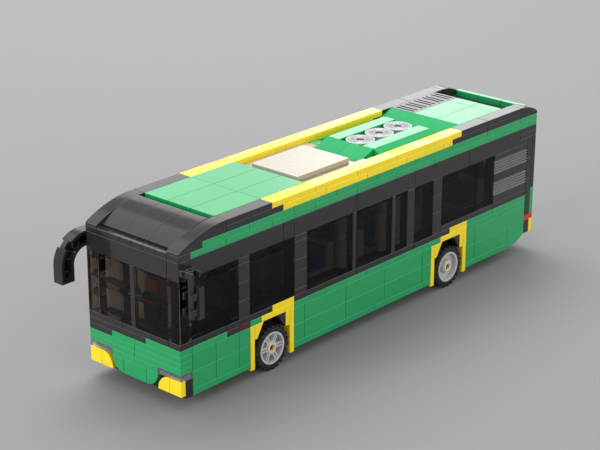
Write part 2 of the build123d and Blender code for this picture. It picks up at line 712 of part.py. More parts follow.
# Windscreen: four panels, a middle bar and two columns of hollow see-through bricks
SCREEN_SPLIT = SILL + WINDOW / 2  # plate level between the lower and the upper panels
BAR_HALF = TILE / 2
SCREEN_ROWS = ((SILL, SCREEN_SPLIT), (SCREEN_SPLIT, HEAD))
with BuildPart() as windscreen:
    for k0, k1 in SCREEN_ROWS:
        for name, side in SIDES:
            y0, y1 = across(side, BAR_HALF, INSIDE)
            lay_screen_panel(y0, y1, k0, k1)
finish(windscreen, "windscreen")

with BuildPart() as windscreen_bar:
    for k0, k1 in SCREEN_ROWS:
        lay(0, TILE, -BAR_HALF, BAR_HALF, k0, k1)
finish(windscreen_bar, "windscreen_bar")

hollow = STUD - PLAY - 2 * BRICK_WALL
with BuildPart() as corner_glass:
    for name, side in SIDES:
        for k0, k1 in bond(SILL, HEAD, 3, 3):
            lay(0, CAB, side * INSIDE, side * HALF_WIDTH, k0, k1)
            with Locations((x_at(CAB / 2), y_at(side * (INSIDE + HALF_WIDTH) / 2), z_at(k0))):
                Box(
                    hollow,
                    hollow,
                    (k1 - k0) * PLATE - BED - PLATE_ROOF,
                    align=(Align.CENTER, Align.CENTER, Align.MIN),
                    mode=Mode.SUBTRACT,
                )
finish(corner_glass, "corner_glass")

# Header over the windscreen, with a row of single plates on top
with BuildPart() as header_bricks:
    lay(0, CAB, -HALF_WIDTH, INSIDE, HEAD, CEILING)
    lay(0, CAB, INSIDE, HALF_WIDTH, HEAD, CEILING)
    for y0, y1 in bond(-HALF_WIDTH, HALF_WIDTH, 1, 1):
        lay(0, CAB, y0, y1, CEILING, CEILING + 1)
finish(header_bricks, "header_bricks")

# Dome: curved slopes two studs wide, the outer ones longer and stepped underneath
DOME_BASE = CEILING + 1
DOME_LIP = DOME_BASE + 0.4
DOME_STEP = 2  # stud line of the step under the outer slopes
DOME_INSET = 0.5  # from the outer slopes' ends to those of the middle slopes
with BuildPart() as dome_slopes:
    for y0, y1 in bond(-INSIDE, INSIDE, 2, 2):
        lay_curved_slope(DOME_INSET, DOME_END - DOME_INSET, y0, y1, DOME_BASE, DOME_LIP, TOP)
    for name, side in SIDES:
        y0, y1 = across(side, INSIDE, HALF_WIDTH)
        lay_curved_slope(0, DOME_END, y0, y1, DOME_BASE, DOME_LIP, TOP)
        with Locations((x_at(DOME_STEP), y_at((y0 + y1) / 2), z_at(DOME_BASE))):
            Box(
                (DOME_END - DOME_STEP) * STUD,
                STUD,
                (ROOF - DOME_BASE) * PLATE,
                align=(Align.MAX, Align.CENTER, Align.MIN),
                mode=Mode.SUBTRACT,
            )
finish(dome_slopes, "dome_slopes")

# Places of the roof units, in studs behind the front face
UNIT_START = REAR_ARCH - 4  # front of the cooling unit's level part
UNIT_END = REAR_ARCH + 2
UNIT_SLOPE = 2  # length of its sloped ends
HATCH_FLOOR = (UNIT_START - 8, UNIT_START - UNIT_SLOPE)
HATCH = (UNIT_START - 7.5, UNIT_START - 2.5)
HATCH_HALF = 2
YELLOW_RAIL = (FRONT_ARCH_END - 1, UNIT_END)

# Roof plates: a full-width course, then side strips and a middle course
with BuildPart() as roof_plates:
    for s0, s1 in bond(CAB, TAIL, 3, 4):
        lay(s0, s1, -HALF_WIDTH, HALF_WIDTH, CEILING, CEILING + 1)
    for name, side in SIDES:
        lay(TAIL, BODY_STUDS, side * INSIDE, side * HALF_WIDTH, CEILING, CEILING + 1)
        for s0, s1 in bond(DOME_STEP, BODY_STUDS, 4, 4):
            lay(s0, s1, side * INSIDE, side * HALF_WIDTH, CEILING + 1, ROOF)
    for start, end in ((DOME_END, HATCH_FLOOR[0]), (HATCH_FLOOR[1], DECK_END)):
        for s0, s1 in bond(start, end, 4, 4):
            lay(s0, s1, -INSIDE, INSIDE, CEILING + 1, ROOF)
finish(roof_plates, "roof_plates")

# Roof rails along both sides, with the black plates of the trough and of the rear recess
# columns: start and end in studs, first piece, further pieces, lower and upper plate level
RAIL_BLACK = (
    (DOME_END, YELLOW_RAIL[0], 5, 5, ROOF, ROOF + 1),
    (YELLOW_RAIL[1], TAIL - 1, 4, 4, ROOF, ROOF + 1),
    (DOME_END, YELLOW_RAIL[0] - 1, 4, 4, ROOF + 1, TOP),
    (YELLOW_RAIL[1] + 1, TAIL - 1, 3, 4, ROOF + 1, TOP),
)
RAIL_YELLOW = (
    (*YELLOW_RAIL, 4, 4, ROOF, ROOF + 1),
    (YELLOW_RAIL[0] - 1, YELLOW_RAIL[1] + 1, 4, 4, ROOF + 1, TOP),
)
RAIL_LIP = ROOF + 0.5
with BuildPart() as roof_black:
    for name, side in SIDES:
        for start, end, first, further, k0, k1 in RAIL_BLACK:
            for s0, s1 in bond(start, end, first, further):
                lay(s0, s1, side * INSIDE, side * HALF_WIDTH, k0, k1)
        y0, y1 = across(side, INSIDE, HALF_WIDTH)
        lay_curved_slope(BODY_STUDS, TAIL - 1, y0, y1, ROOF, RAIL_LIP, TOP)
    lay(UNIT_START, UNIT_END, -1, 1, ROOF, ROOF + 1)
    lay(DECK_END, TAIL, -INSIDE, INSIDE, CEILING + 1, ROOF)
finish(roof_black, "roof_black")

with BuildPart() as roof_yellow:
    for name, side in SIDES:
        for start, end, first, further, k0, k1 in RAIL_YELLOW:
            for s0, s1 in bond(start, end, first, further):
                lay(s0, s1, side * INSIDE, side * HALF_WIDTH, k0, k1)
finish(roof_yellow, "roof_yellow")

# Green roof decks ahead of the hatch and behind the cooling unit; grilles fill one column
DECKS = ((DOME_END, HATCH_FLOOR[0], -INSIDE), (UNIT_END + UNIT_SLOPE, DECK_END, 2 - INSIDE))
with BuildPart() as roof_tiles:
    for start, end, right_edge in DECKS:
        lay(start, end, -INSIDE, INSIDE, ROOF, ROOF + 1)
        for s0, s1 in bond(start, end, 4, 4):
            for y0, y1 in bond(right_edge, INSIDE, 2, 2):
                lay(s0, s1, y0, y1, ROOF + 1, TOP)
finish(roof_tiles, "roof_tiles")

deck_bar = (STUD - PLAY) / (2 * DECK_SLOTS + 1)
with BuildPart() as deck_grilles:
    for s0, s1 in bond(UNIT_END + UNIT_SLOPE, DECK_END, 1, 1):
        lay(s0, s1, -INSIDE, 2 - INSIDE, ROOF + 1, TOP)
        for gap in range(DECK_SLOTS):
            x_gap = x_at(s0) - PLAY / 2 - (2 * gap + 1.5) * deck_bar
            with Locations((x_gap, y_at(1 - INSIDE), z_at(TOP) - BED)):
                Box(
                    deck_bar,
                    2 * STUD - 2 * PLATE_WALL,
                    GRILLE_DEPTH,
                    align=(Align.CENTER, Align.CENTER, Align.MAX),
                    mode=Mode.SUBTRACT,
                )
finish(deck_grilles, "deck_grilles")

# Roof hatch on its pale floor of two courses, which runs on beside the cooling unit's front slopes
with BuildPart() as roof_hatch:
    for k0, k1 in ((CEILING + 1, ROOF), (ROOF, ROOF + 1)):
        lay(*HATCH_FLOOR, -INSIDE, INSIDE, k0, k1)
    for name, side in SIDES:
        lay(HATCH_FLOOR[1], HATCH_FLOOR[1] + 1, side * HATCH_HALF, side * INSIDE, ROOF, ROOF + 1)
    lay(*HATCH, -HATCH_HALF, HATCH_HALF, ROOF + 1, TOP)
finish(roof_hatch, "roof_hatch")

# Cooling unit: sloped casing round a trough with fans
SLOPE_LIP = ROOF + 0.3
SIDE_LIP = ROOF + 0.8
with BuildPart() as cooling_unit:
    for y0, y1 in bond(-HATCH_HALF, HATCH_HALF, 2, 2):
        lay_slope(UNIT_START - UNIT_SLOPE, UNIT_START, y0, y1, ROOF, SLOPE_LIP, TOP)
    for y0, y1 in bond(-INSIDE, INSIDE, 2, 2):
        lay_slope(UNIT_END, UNIT_END + UNIT_SLOPE, y0, y1, ROOF, SLOPE_LIP, TOP)
    for name, side in SIDES:
        lay(UNIT_START, UNIT_END, side * (HATCH_HALF - 1), side * HATCH_HALF, ROOF, TOP)
        high = side * (HATCH_HALF * STUD + PLAY / 2)
        low = side * (INSIDE * STUD - PLAY / 2)
        for s0, s1 in bond(UNIT_START, UNIT_END, 2, 2):
            with BuildSketch(Plane.YZ.offset(x_at(s1) + PLAY / 2)):
                with BuildLine():
                    Polyline(
                        (high, z_at(ROOF)),
                        (high, z_at(TOP) - BED),
                        (low, z_at(SIDE_LIP)),
                        (low, z_at(ROOF)),
                        close=True,
                    )
                make_face()
            extrude(amount=(s1 - s0) * STUD - PLAY)
        with Locations((x_at(UNIT_START - 0.5), y_at(side * (INSIDE - 0.5)), z_at(ROOF))):
            Cylinder(
                (STUD - PLAY) / 2,
                PLATE - BED,
                align=(Align.CENTER, Align.CENTER, Align.MIN),
            )
finish(cooling_unit, "cooling_unit")

FAN_STUDS = 2  # width of a fan
with BuildPart() as roof_fans:
    fan_places = [(x_at((s0 + s1) / 2), 0) for s0, s1 in bond(UNIT_START, UNIT_END, FAN_STUDS, FAN_STUDS)]
    with BuildSketch(Plane.XY.offset(z_at(ROOF + 1))):
        with Locations(*fan_places):
            Circle((FAN_STUDS * STUD - PLAY) / 2)
            Circle(STUD_RADIUS, mode=Mode.SUBTRACT)
    extrude(amount=PLATE - BED)
finish(roof_fans, "roof_fans")

# Rear end: bricks behind, tiles and panes on edge outside
REAR_SILL = SILL + 1  # top of the green tiles
REAR_HEAD = HEAD + 1  # upper edge of the rear window
REAR_PANES = REAR_SILL + TILE_RISE  # lower edge of the rear window
# columns: right edge, left edge in studs, lower and upper plate level
REAR_BRICKS = (
    (-HALF_WIDTH, HALF_WIDTH, FLOOR - TILE_RISE, FLOOR),
    (-HALF_WIDTH, HALF_WIDTH, FLOOR + 1, SILL),
    (-INSIDE, INSIDE, SILL, REAR_PANES),
    (-HALF_WIDTH, -INSIDE, SILL, SILL + 3),
    (INSIDE, HALF_WIDTH, SILL, SILL + 3),
    (-HALF_WIDTH, -INSIDE, SILL + 3, SILL + 7),
    (INSIDE, HALF_WIDTH, SILL + 3, SILL + 7),
    (-HALF_WIDTH, -INSIDE, SILL + 7, REAR_HEAD),
    (INSIDE, HALF_WIDTH, SILL + 7, REAR_HEAD),
    (-INSIDE, INSIDE, REAR_HEAD, CEILING),
    (-INSIDE, INSIDE, CEILING, ROOF),
)
# columns: start and end in studs across, first and further tile, lower and upper plate level
REAR_GREEN = (
    (-HALF_WIDTH, HALF_WIDTH, 2, 2, FLOOR + 1, FLOOR + 1 + TILE_RISE),
    (-HALF_WIDTH, HALF_WIDTH, 2, 2, REAR_SILL - TILE_RISE, REAR_SILL),
    (-INSIDE, INSIDE, 2, 2, REAR_HEAD + TILE_RISE, ROOF + 1),
)
REAR_FRAME_JOINT = (REAR_SILL + REAR_HEAD) / 2
REAR_BLACK = (
    (-HALF_WIDTH, -INSIDE, 1, 1, REAR_SILL, REAR_FRAME_JOINT),
    (-HALF_WIDTH, -INSIDE, 1, 1, REAR_FRAME_JOINT, REAR_HEAD),
    (INSIDE, HALF_WIDTH, 1, 1, REAR_SILL, REAR_FRAME_JOINT),
    (INSIDE, HALF_WIDTH, 1, 1, REAR_FRAME_JOINT, REAR_HEAD),
    (-INSIDE, INSIDE, 3, 3, REAR_SILL, REAR_PANES),
    (-INSIDE, INSIDE, 3, 3, REAR_HEAD, REAR_HEAD + TILE_RISE),
)
REAR_GLASS = ((-INSIDE, INSIDE, 3, 3, REAR_PANES, REAR_HEAD),)
with BuildPart() as rear_bricks:
    for y0, y1, k0, k1 in REAR_BRICKS:
        lay(TAIL, BODY_STUDS - TILE, y0, y1, k0, k1)
finish(rear_bricks, "rear_bricks")

for table, label in ((REAR_GREEN, "rear_green"), (REAR_BLACK, "rear_black"), (REAR_GLASS, "rear_window")):
    with BuildPart() as rear_tiles:
        for start, end, first, further, k0, k1 in table:
            for y0, y1 in bond(start, end, first, further):
                lay(BODY_STUDS - TILE, BODY_STUDS, y0, y1, k0, k1)
        if label == "rear_green":
            lay(TAIL, BODY_STUDS, -LAMP_EDGE, LAMP_EDGE, FLOOR, FLOOR + 1)
    finish(rear_tiles, label)

with BuildPart() as tail_lamps:
    for name, side in SIDES:
        lay(TAIL, BODY_STUDS, side * LAMP_EDGE, side * HALF_WIDTH, FLOOR, FLOOR + 1)
finish(tail_lamps, "tail_lamps")

with BuildPart() as side_lamps:
    for name, side in SIDES:
        lay(FRONT_ARCH - 1, FRONT_ARCH, side * INSIDE, side * HALF_WIDTH, BELT, BELT + 1)
finish(side_lamps, "side_lamps")

# Right mirror: an arm of two plates side by side that arches forward and down, hollow inside
# where it faces the front and studded outside
arm_left = -(HALF_WIDTH * STUD - PLAY / 2)
arm_width = ARM_PLATES * PLATE - PLAY / 2
bend_outer = MIRROR_REACH - PLAY / 2
bend_inner = STUD + PLAY / 2
bend_x, bend_z = x_at(0), z_at(CEILING) - MIRROR_REACH  # middle of the bend
arm_top = bend_z + bend_outer
arm_under = bend_z + bend_inner
arm_foot = bend_z - STUD
arm_root = x_at(CAB) + PLAY / 2
arm_middle = (bend_outer + bend_inner) / 2
arm_studs = [(bend_x + arm_middle, bend_z - STUD / 2), (bend_x - STUD / 2, bend_z + arm_middle)]
NOTCH_SIDE = (arm_width - NOTCH_STRIP) / 2
notch_reach = bend_outer + PLAY
with BuildPart() as mirror_arm:
    with BuildSketch(side_plane(arm_left)) as arm_outline:
        with BuildLine():
            Line((arm_root, arm_top), (bend_x, arm_top))
            RadiusArc((bend_x, arm_top), (bend_x + bend_outer, bend_z), bend_outer)
            Polyline(
                (bend_x + bend_outer, bend_z),
                (bend_x + bend_outer, arm_foot),
                (bend_x + bend_inner, arm_foot),
                (bend_x + bend_inner, bend_z),
            )
            RadiusArc((bend_x + bend_inner, bend_z), (bend_x, arm_under), -bend_inner)
            Polyline((bend_x, arm_under), (arm_root, arm_under), (arm_root, arm_top))
        make_face()
    extrude(amount=arm_width)
    with BuildSketch(side_plane(arm_left)):
        add(arm_outline.sketch_local)
        offset(amount=-PLATE_WALL, mode=Mode.REPLACE)
    extrude(amount=arm_width - PLATE_ROOF, mode=Mode.SUBTRACT)
    for notch_left in (arm_left, arm_left - arm_width + NOTCH_SIDE):
        with BuildSketch(side_plane(notch_left)):
            with BuildLine():
                corners = []
                for radius, turn in ((bend_outer - NOTCH_DEPTH, -1), (notch_reach, -1), (notch_reach, 1)):
                    angle = radians(45 + turn * NOTCH_TURN / 2)
                    corners.append((bend_x + radius * cos(angle), bend_z + radius * sin(angle)))
                angle = radians(45 + NOTCH_TURN / 2)
                low = bend_outer - NOTCH_DEPTH
                corners.append((bend_x + low * cos(angle), bend_z + low * sin(angle)))
                Polyline(*corners, close=True)
            make_face()
        extrude(amount=NOTCH_SIDE, mode=Mode.SUBTRACT)
    with BuildSketch(side_plane(arm_left - arm_width)):
        with Locations(*arm_studs):
            Circle(STUD_RADIUS)
    extrude(amount=ARM_STUD)
finish(mirror_arm, "mirror_arm_right")

# Left mirror: a jawed bracket on the wall, a hanging bar and a plate clipped to the bar
BAR_LINE = 0.5  # stud line of the bar
BRACKET = (HEAD + 1, HEAD + 2)  # plate levels of the bracket
MIRROR_FOOT = SILL + 4.3  # plate level of the lower ends
MIRROR_RISE = 5  # height of the mirror plate in plates
CLIPS = (MIRROR_FOOT + 0.6, MIRROR_FOOT + 3.1)  # plate levels of the clips' lower edges
CLIP_RISE = 3.6
JAW = 1.2  # thickness of a jaw
bar_y = y_at(HALF_WIDTH + 0.5)
wall_y = y_at(HALF_WIDTH) - PLAY / 2
x_bar = x_at(BAR_LINE)
jaw_place = BAR_RADIUS + CLIP_PLAY
bracket_rise = (BRACKET[1] - BRACKET[0]) * PLATE
with BuildPart() as mirror_bracket:
    with Locations((x_bar, wall_y, z_at(BRACKET[0]))):
        Box(
            STUD - PLAY,
            bar_y - jaw_place - wall_y,
            bracket_rise,
            align=(Align.CENTER, Align.MIN, Align.MIN),
        )
    for toward in (-1, 1):
        with Locations((x_bar + toward * (jaw_place + JAW / 2), wall_y, z_at(BRACKET[0]))):
            Box(JAW, STUD - PLAY / 2, bracket_rise, align=(Align.CENTER, Align.MIN, Align.MIN))
finish(mirror_bracket, "mirror_bracket_left")

with BuildPart() as mirror_bar:
    with Locations((x_bar, bar_y, z_at(MIRROR_FOOT))):
        Cylinder(
            BAR_RADIUS,
            z_at(BRACKET[1]) - z_at(MIRROR_FOOT),
            align=(Align.CENTER, Align.CENTER, Align.MIN),
        )
finish(mirror_bar, "mirror_bar_left")

x_plate = x_bar - jaw_place
with BuildPart() as mirror_plate:
    with Locations((x_plate, bar_y, z_at(MIRROR_FOOT))):
        Box(
            TILE * STUD,
            STUD - PLAY,
            MIRROR_RISE * PLATE,
            align=(Align.MAX, Align.CENTER, Align.MIN),
        )
    for level in CLIPS:
        for toward in (-1, 1):
            with Locations((x_plate, bar_y + toward * (jaw_place + JAW / 2), z_at(level))):
                Box(
                    2 * jaw_place + JAW,
                    JAW,
                    CLIP_RISE,
                    align=(Align.MIN, Align.CENTER, Align.MIN),
                )
finish(mirror_plate, "mirror_plate_left")

# Inside: seats in rows, grab poles, the driver's place
SEAT_STUDS = 2
SEAT_DEPTH, SEAT_BACK, SEAT_RISE, SEAT_TOP = 12.0, 5.0, 19.2, 32.0  # millimetres
PAD = 2.0  # thickness of a seat's pads, millimetres
SEAT_PITCH = 3  # studs from row to row
SEAT_FIELDS = ((FRONT_ARCH_END + 2.75, REAR_ARCH - 2), (REAR_ARCH_END + 1, TAIL - 2))
seat_rows = []
for start, end in SEAT_FIELDS:
    seat_rows += [s0 for s0, s1 in bond(start, end, SEAT_PITCH, SEAT_PITCH)]
seat_places = []
for s0 in seat_rows:
    for y0 in (-INSIDE, INSIDE - SEAT_STUDS):
        facing_door = y0 < 0 and DOORS[1][0] - SEAT_STUDS < s0 < DOORS[1][1]
        if not facing_door:
            seat_places.append((s0, y0))
with BuildPart() as seats:
    for s0, y0 in seat_places:
        lay_seat(s0, y0, FLOOR)
finish(seats, "seats")

with BuildPart() as seat_pads:
    for s0, y0 in seat_places:
        lay_pads(s0, y0, FLOOR)
finish(seat_pads, "seat_pads")

DRIVER_LINE = 3.5  # stud line of the seat's front
DRIVER_EDGE = INSIDE - SEAT_STUDS - 0.5  # the seat's right edge in studs
with BuildPart() as driver_seat:
    lay_seat(DRIVER_LINE, DRIVER_EDGE, FLOOR)
finish(driver_seat, "driver_seat")

# Ticket box on a post beside the front door
TICKET_LINE, TICKET_EDGE, TICKET_STUDS, TICKET_RISE = 2.7, 1.3 - INSIDE, 1, 10  # studs, then plates
with BuildPart() as ticket_box:
    lay(
        TICKET_LINE,
        TICKET_LINE + TICKET_STUDS,
        TICKET_EDGE,
        TICKET_EDGE + TICKET_STUDS,
        FLOOR,
        FLOOR + TICKET_RISE,
    )
finish(ticket_box, "ticket_box")

POLE_ROW = 0.7  # studs from the middle line
pole_places = []
for row, s0 in enumerate(seat_rows[::2]):
    pole_places.append((x_at(s0 - 0.5), y_at(POLE_ROW if row % 2 else -POLE_ROW), z_at(FLOOR)))
with BuildPart() as grab_poles:
    with Locations(*pole_places):
        Cylinder(
            BAR_RADIUS,
            z_at(CEILING) - z_at(FLOOR) - BED,
            align=(Align.CENTER, Align.CENTER, Align.MIN),
        )
finish(grab_poles, "grab_poles")

with BuildPart() as dashboard:
    lay(CAB, CAB + 1, -INSIDE, INSIDE, FLOOR, SILL - 1)
finish(dashboard, "dashboard")

# Steering wheel on a leaning stem that stands on a plate of the dashboard
RING_RADIUS, RING_BAR = 5.5, 1.0
STEER_LINE, STEER_ROW, STEER_RISE = CAB + 1.1, DRIVER_EDGE + 1, 2  # studs, studs, plates over the sill
STEER_LEAN = 30  # degrees
STEM = 8.6
lean = (-sin(radians(STEER_LEAN)), 0, cos(radians(STEER_LEAN)))
steering_plane = Plane((x_at(STEER_LINE), y_at(STEER_ROW), z_at(SILL + STEER_RISE)), x_dir=(0, 1, 0), z_dir=lean)
with BuildPart() as steering_wheel:
    lay(CAB, CAB + 1, STEER_ROW - 1, STEER_ROW + 1, SILL - 1, SILL)
    with BuildSketch(steering_plane):
        Circle(RING_RADIUS)
        Circle(RING_RADIUS - 2 * RING_BAR, mode=Mode.SUBTRACT)
        Rectangle(2 * RING_RADIUS - 2 * RING_BAR, 2 * RING_BAR)
    extrude(amount=2 * RING_BAR)
    with BuildSketch(steering_plane):
        Rectangle(2 * RING_BAR, 2 * RING_BAR)
    extrude(amount=-STEM)
finish(steering_wheel, "steering_wheel")
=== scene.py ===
# %% [markdown]
# # A brick-built toy city bus
# The toy is a city bus put together from small moulded bricks on an 8 mm module. The solids of the
# part arrive first, as a frame of hard-edged pieces in their right places. Everything after that
# dresses the frame: rounded edges, finishes, light and a camera. The frame is loaded once.

# %% Load the frame of solids
import bmesh
import bpy
import json
import random
from math import cos, pi, radians, sin
from mathutils import Matrix, Quaternion, Vector

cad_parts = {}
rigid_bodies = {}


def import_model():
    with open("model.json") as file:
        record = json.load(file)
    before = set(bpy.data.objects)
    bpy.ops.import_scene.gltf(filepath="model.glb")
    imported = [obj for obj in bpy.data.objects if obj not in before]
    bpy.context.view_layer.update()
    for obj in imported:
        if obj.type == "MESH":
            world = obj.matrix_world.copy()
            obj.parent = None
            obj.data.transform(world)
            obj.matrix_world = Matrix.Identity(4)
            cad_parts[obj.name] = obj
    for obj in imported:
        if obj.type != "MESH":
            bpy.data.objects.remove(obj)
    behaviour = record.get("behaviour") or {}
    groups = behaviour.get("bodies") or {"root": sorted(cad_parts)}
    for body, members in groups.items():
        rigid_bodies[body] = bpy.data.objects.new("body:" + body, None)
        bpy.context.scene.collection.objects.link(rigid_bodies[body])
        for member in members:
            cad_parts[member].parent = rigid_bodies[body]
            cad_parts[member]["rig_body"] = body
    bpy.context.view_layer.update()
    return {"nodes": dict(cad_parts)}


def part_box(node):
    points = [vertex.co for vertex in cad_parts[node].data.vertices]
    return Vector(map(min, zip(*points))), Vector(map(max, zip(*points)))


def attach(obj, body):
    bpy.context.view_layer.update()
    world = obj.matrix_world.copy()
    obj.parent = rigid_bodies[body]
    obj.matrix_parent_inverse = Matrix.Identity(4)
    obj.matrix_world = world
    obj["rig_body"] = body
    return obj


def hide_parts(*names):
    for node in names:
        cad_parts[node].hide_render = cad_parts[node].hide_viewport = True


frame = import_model()
MM = 0.001

# %% [markdown]
# Places along the bus are easiest to count in studs from its front face. The header bricks reach that
# face, less half the play that a brick leaves to its neighbour, so the face is read from their box.

# %% Count studs from the front
STUD = 8 * MM  # pitch of the studs
HALF_PLAY = 0.1 * MM
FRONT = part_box("header_bricks")[1].x + HALF_PLAY


def along(studs):
    """Place along the bus, counted in studs behind its front face."""
    return FRONT - studs * STUD


print("front face at", round(FRONT / MM, 1), "mm")


# %% [markdown]
# ## The camera
# The picture was taken from the front left and a little above, with a long lens, so the lines of the
# bus hardly run together. A camera can be aimed by turning its track direction into a rotation; the
# small roll then lays the picture's upright lines exactly.

# %% Aim the camera
CAMERA_PLACE = Vector((FRONT + 0.51431, 0.56823, 0.38074))
CAMERA_AIM = Vector((-0.69520, -0.62305, -0.35849))
CAMERA_ROLL = -0.0025
CAMERA_SENSOR, CAMERA_LENS = 36, 104.36  # millimetres
camera_data = bpy.data.cameras.new("picture_camera")
camera_data.sensor_width = CAMERA_SENSOR
camera_data.lens = CAMERA_LENS
camera = bpy.data.objects.new("picture_camera", camera_data)
bpy.context.scene.collection.objects.link(camera)
camera.location = CAMERA_PLACE
camera.rotation_mode = "QUATERNION"
camera.rotation_quaternion = Quaternion(CAMERA_AIM, CAMERA_ROLL) @ CAMERA_AIM.to_track_quat("-Z", "Y")
bpy.context.scene.camera = camera
bpy.context.scene.view_settings.view_transform = "Standard"
print("camera stands", round(CAMERA_PLACE.length, 3), "m from the bus, lens", CAMERA_LENS, "mm")


# %% [markdown]
# ## Colours
# A colour chart gives red, green and blue from 0 to 255, as a screen shows them. Shaders count in
# amounts of light, so each number is turned into that scale once, here.

# %% Turn a chart colour into a shader colour
def chart(red, green, blue):
    """A colour from the chart, as red, green, blue and full cover."""
    light = []
    for level in (red, green, blue):
        share = level / 255
        light.append(share / 12.92 if share <= 0.04045 else ((share + 0.055) / 1.055) ** 2.4)
    return (*light, 1.0)


print("middle grey 188 on the chart is", round(chart(188, 188, 188)[0], 3), "of full light")

# %% [markdown]
# ## Floor
# The toy stands on a plain pale floor that fills the whole picture and takes its shadow. A backdrop
# could be bent up behind the toy, but one large square is enough, since the camera looks down on it.

# %% Lay the floor
FLOOR_HALF = 8.0
floor_shape = bmesh.new()
bmesh.ops.create_grid(floor_shape, x_segments=1, y_segments=1, size=FLOOR_HALF)
floor_mesh = bpy.data.meshes.new("floor")
floor_shape.to_mesh(floor_mesh)
floor_shape.free()
floor = bpy.data.objects.new("floor", floor_mesh)
bpy.context.scene.collection.objects.link(floor)
print("floor is", 2 * FLOOR_HALF, "m wide")


# %% [markdown]
# The floor's paint is dull, so that no lamp shows in it. Away from the lamps it turns paler, because
# the light falls off there and the floor has to meet the sky without a strong line. The distance from
# the bus, mapped onto two colours, does that. Nodes are added all through the script, so a small
# helper sets a new node's options and socket values in one line.

# %% Paint the floor
def add_node(tree, kind, settings=(), values=()):
    """Add one node, set its options, then the values of its sockets."""
    node = tree.nodes.new(kind)
    for name, value in dict(settings).items():
        setattr(node, name, value)
    for name, value in dict(values).items():
        node.inputs[name].default_value = value
    return node


PALE_FROM, PALE_TO = 1.6, 3.0  # metres from the bus over which the paint turns paler
FLOOR_NEAR, FLOOR_FAR = chart(140, 140, 141), chart(250, 250, 251)
FLOOR_ROUGHNESS, FLOOR_SHINE = 0.95, 0.1
floor_paint = bpy.data.materials.new("floor_paint")
floor_paint.use_nodes = True
paint = floor_paint.node_tree
floor_shader = paint.nodes["Principled BSDF"]
floor_shader.inputs["Roughness"].default_value = FLOOR_ROUGHNESS
floor_shader.inputs["Specular IOR Level"].default_value = FLOOR_SHINE
floor_place = add_node(paint, "ShaderNodeTexCoord")
floor_reach = add_node(paint, "ShaderNodeVectorMath", {"operation": "LENGTH"})
floor_share = add_node(paint, "ShaderNodeMapRange", values={"From Min": PALE_FROM, "From Max": PALE_TO})
floor_ramp = add_node(paint, "ShaderNodeValToRGB")
floor_ramp.color_ramp.elements[0].color = FLOOR_NEAR
floor_ramp.color_ramp.elements[1].color = FLOOR_FAR
paint.links.new(floor_place.outputs["Object"], floor_reach.inputs[0])
paint.links.new(floor_reach.outputs["Value"], floor_share.inputs["Value"])
paint.links.new(floor_share.outputs[0], floor_ramp.inputs["Fac"])
paint.links.new(floor_ramp.outputs["Color"], floor_shader.inputs["Base Color"])
floor.data.materials.append(floor_paint)
print("floor turns paler from", PALE_FROM, "to", PALE_TO, "m")

# %% [markdown]
# ## Light
# The studio has an even sky and large soft boxes. The main one hangs over the bus, behind it and to
# its right, so the roof is brightest and the shadows fall toward the camera. A low one ahead lifts
# the front and one beside lifts the left side less; neither shows as a mirror image, which would
# whiten the roof from behind. Two behind give the roof its sheen, stronger toward the rear, and two
# dim ones higher up show in the dome and along the rounded edges. Lamps as large as these make soft
# shadow edges, which a small lamp could not. None is seen through glass, where it would only sparkle.

# %% Hang the soft boxes
# columns: name, direction from the bus, distance, width, height, power, shows in glossy faces
SOFT_BOXES = (
    ("main_box", (-0.30, -0.42, 0.86), 1.5, 1.2, 1.2, 21.0, False),
    ("front_box", (0.93, -0.10, 0.36), 1.7, 1.2, 1.0, 17.0, False),
    ("side_box", (0.10, 0.93, 0.36), 1.8, 1.4, 1.0, 9.5, False),
    ("sheen_box", (-0.62, -0.68, 0.38), 1.9, 1.2, 0.8, 3.2, True),
    ("rear_box", (-0.87, -0.39, 0.30), 2.0, 1.2, 0.9, 4.4, True),
    ("dome_box", (0.20, -0.62, 0.76), 1.6, 1.2, 1.2, 3.6, True),
    ("side_line_box", (-0.70, 0.36, 0.62), 1.6, 0.7, 0.7, 4.0, True),
)
for name, direction, distance, width, height, power, glossy in SOFT_BOXES:
    lamp_data = bpy.data.lights.new(name, "AREA")
    lamp_data.shape = "RECTANGLE"
    lamp_data.size, lamp_data.size_y = width, height
    lamp_data.energy = power
    lamp = bpy.data.objects.new(name, lamp_data)
    lamp.location = Vector(direction).normalized() * distance
    lamp.rotation_euler = (-Vector(direction)).to_track_quat("-Z", "Y").to_euler()
    lamp.visible_camera = False
    lamp.visible_glossy = glossy
    lamp.visible_transmission = False
    bpy.context.scene.collection.objects.link(lamp)
print("soft boxes:", [box[0] for box in SOFT_BOXES])


# %% [markdown]
# The sky is an even grey. What the camera, a shiny face or a pane sees past the floor's edge is the
# grey of the picture's background, so the sky lights the toy at one level and shows at another. The
# light path node tells the two apart.

# %% Light the sky
def combine(tree, operation, first, second):
    """Work out one value from two, such as their sum, product or maximum."""
    math = add_node(tree, "ShaderNodeMath", {"operation": operation})
    for socket, value in zip(math.inputs, (first, second)):
        if isinstance(value, float):
            socket.default_value = value
        else:
            tree.links.new(value, socket)
    return math.outputs[0]


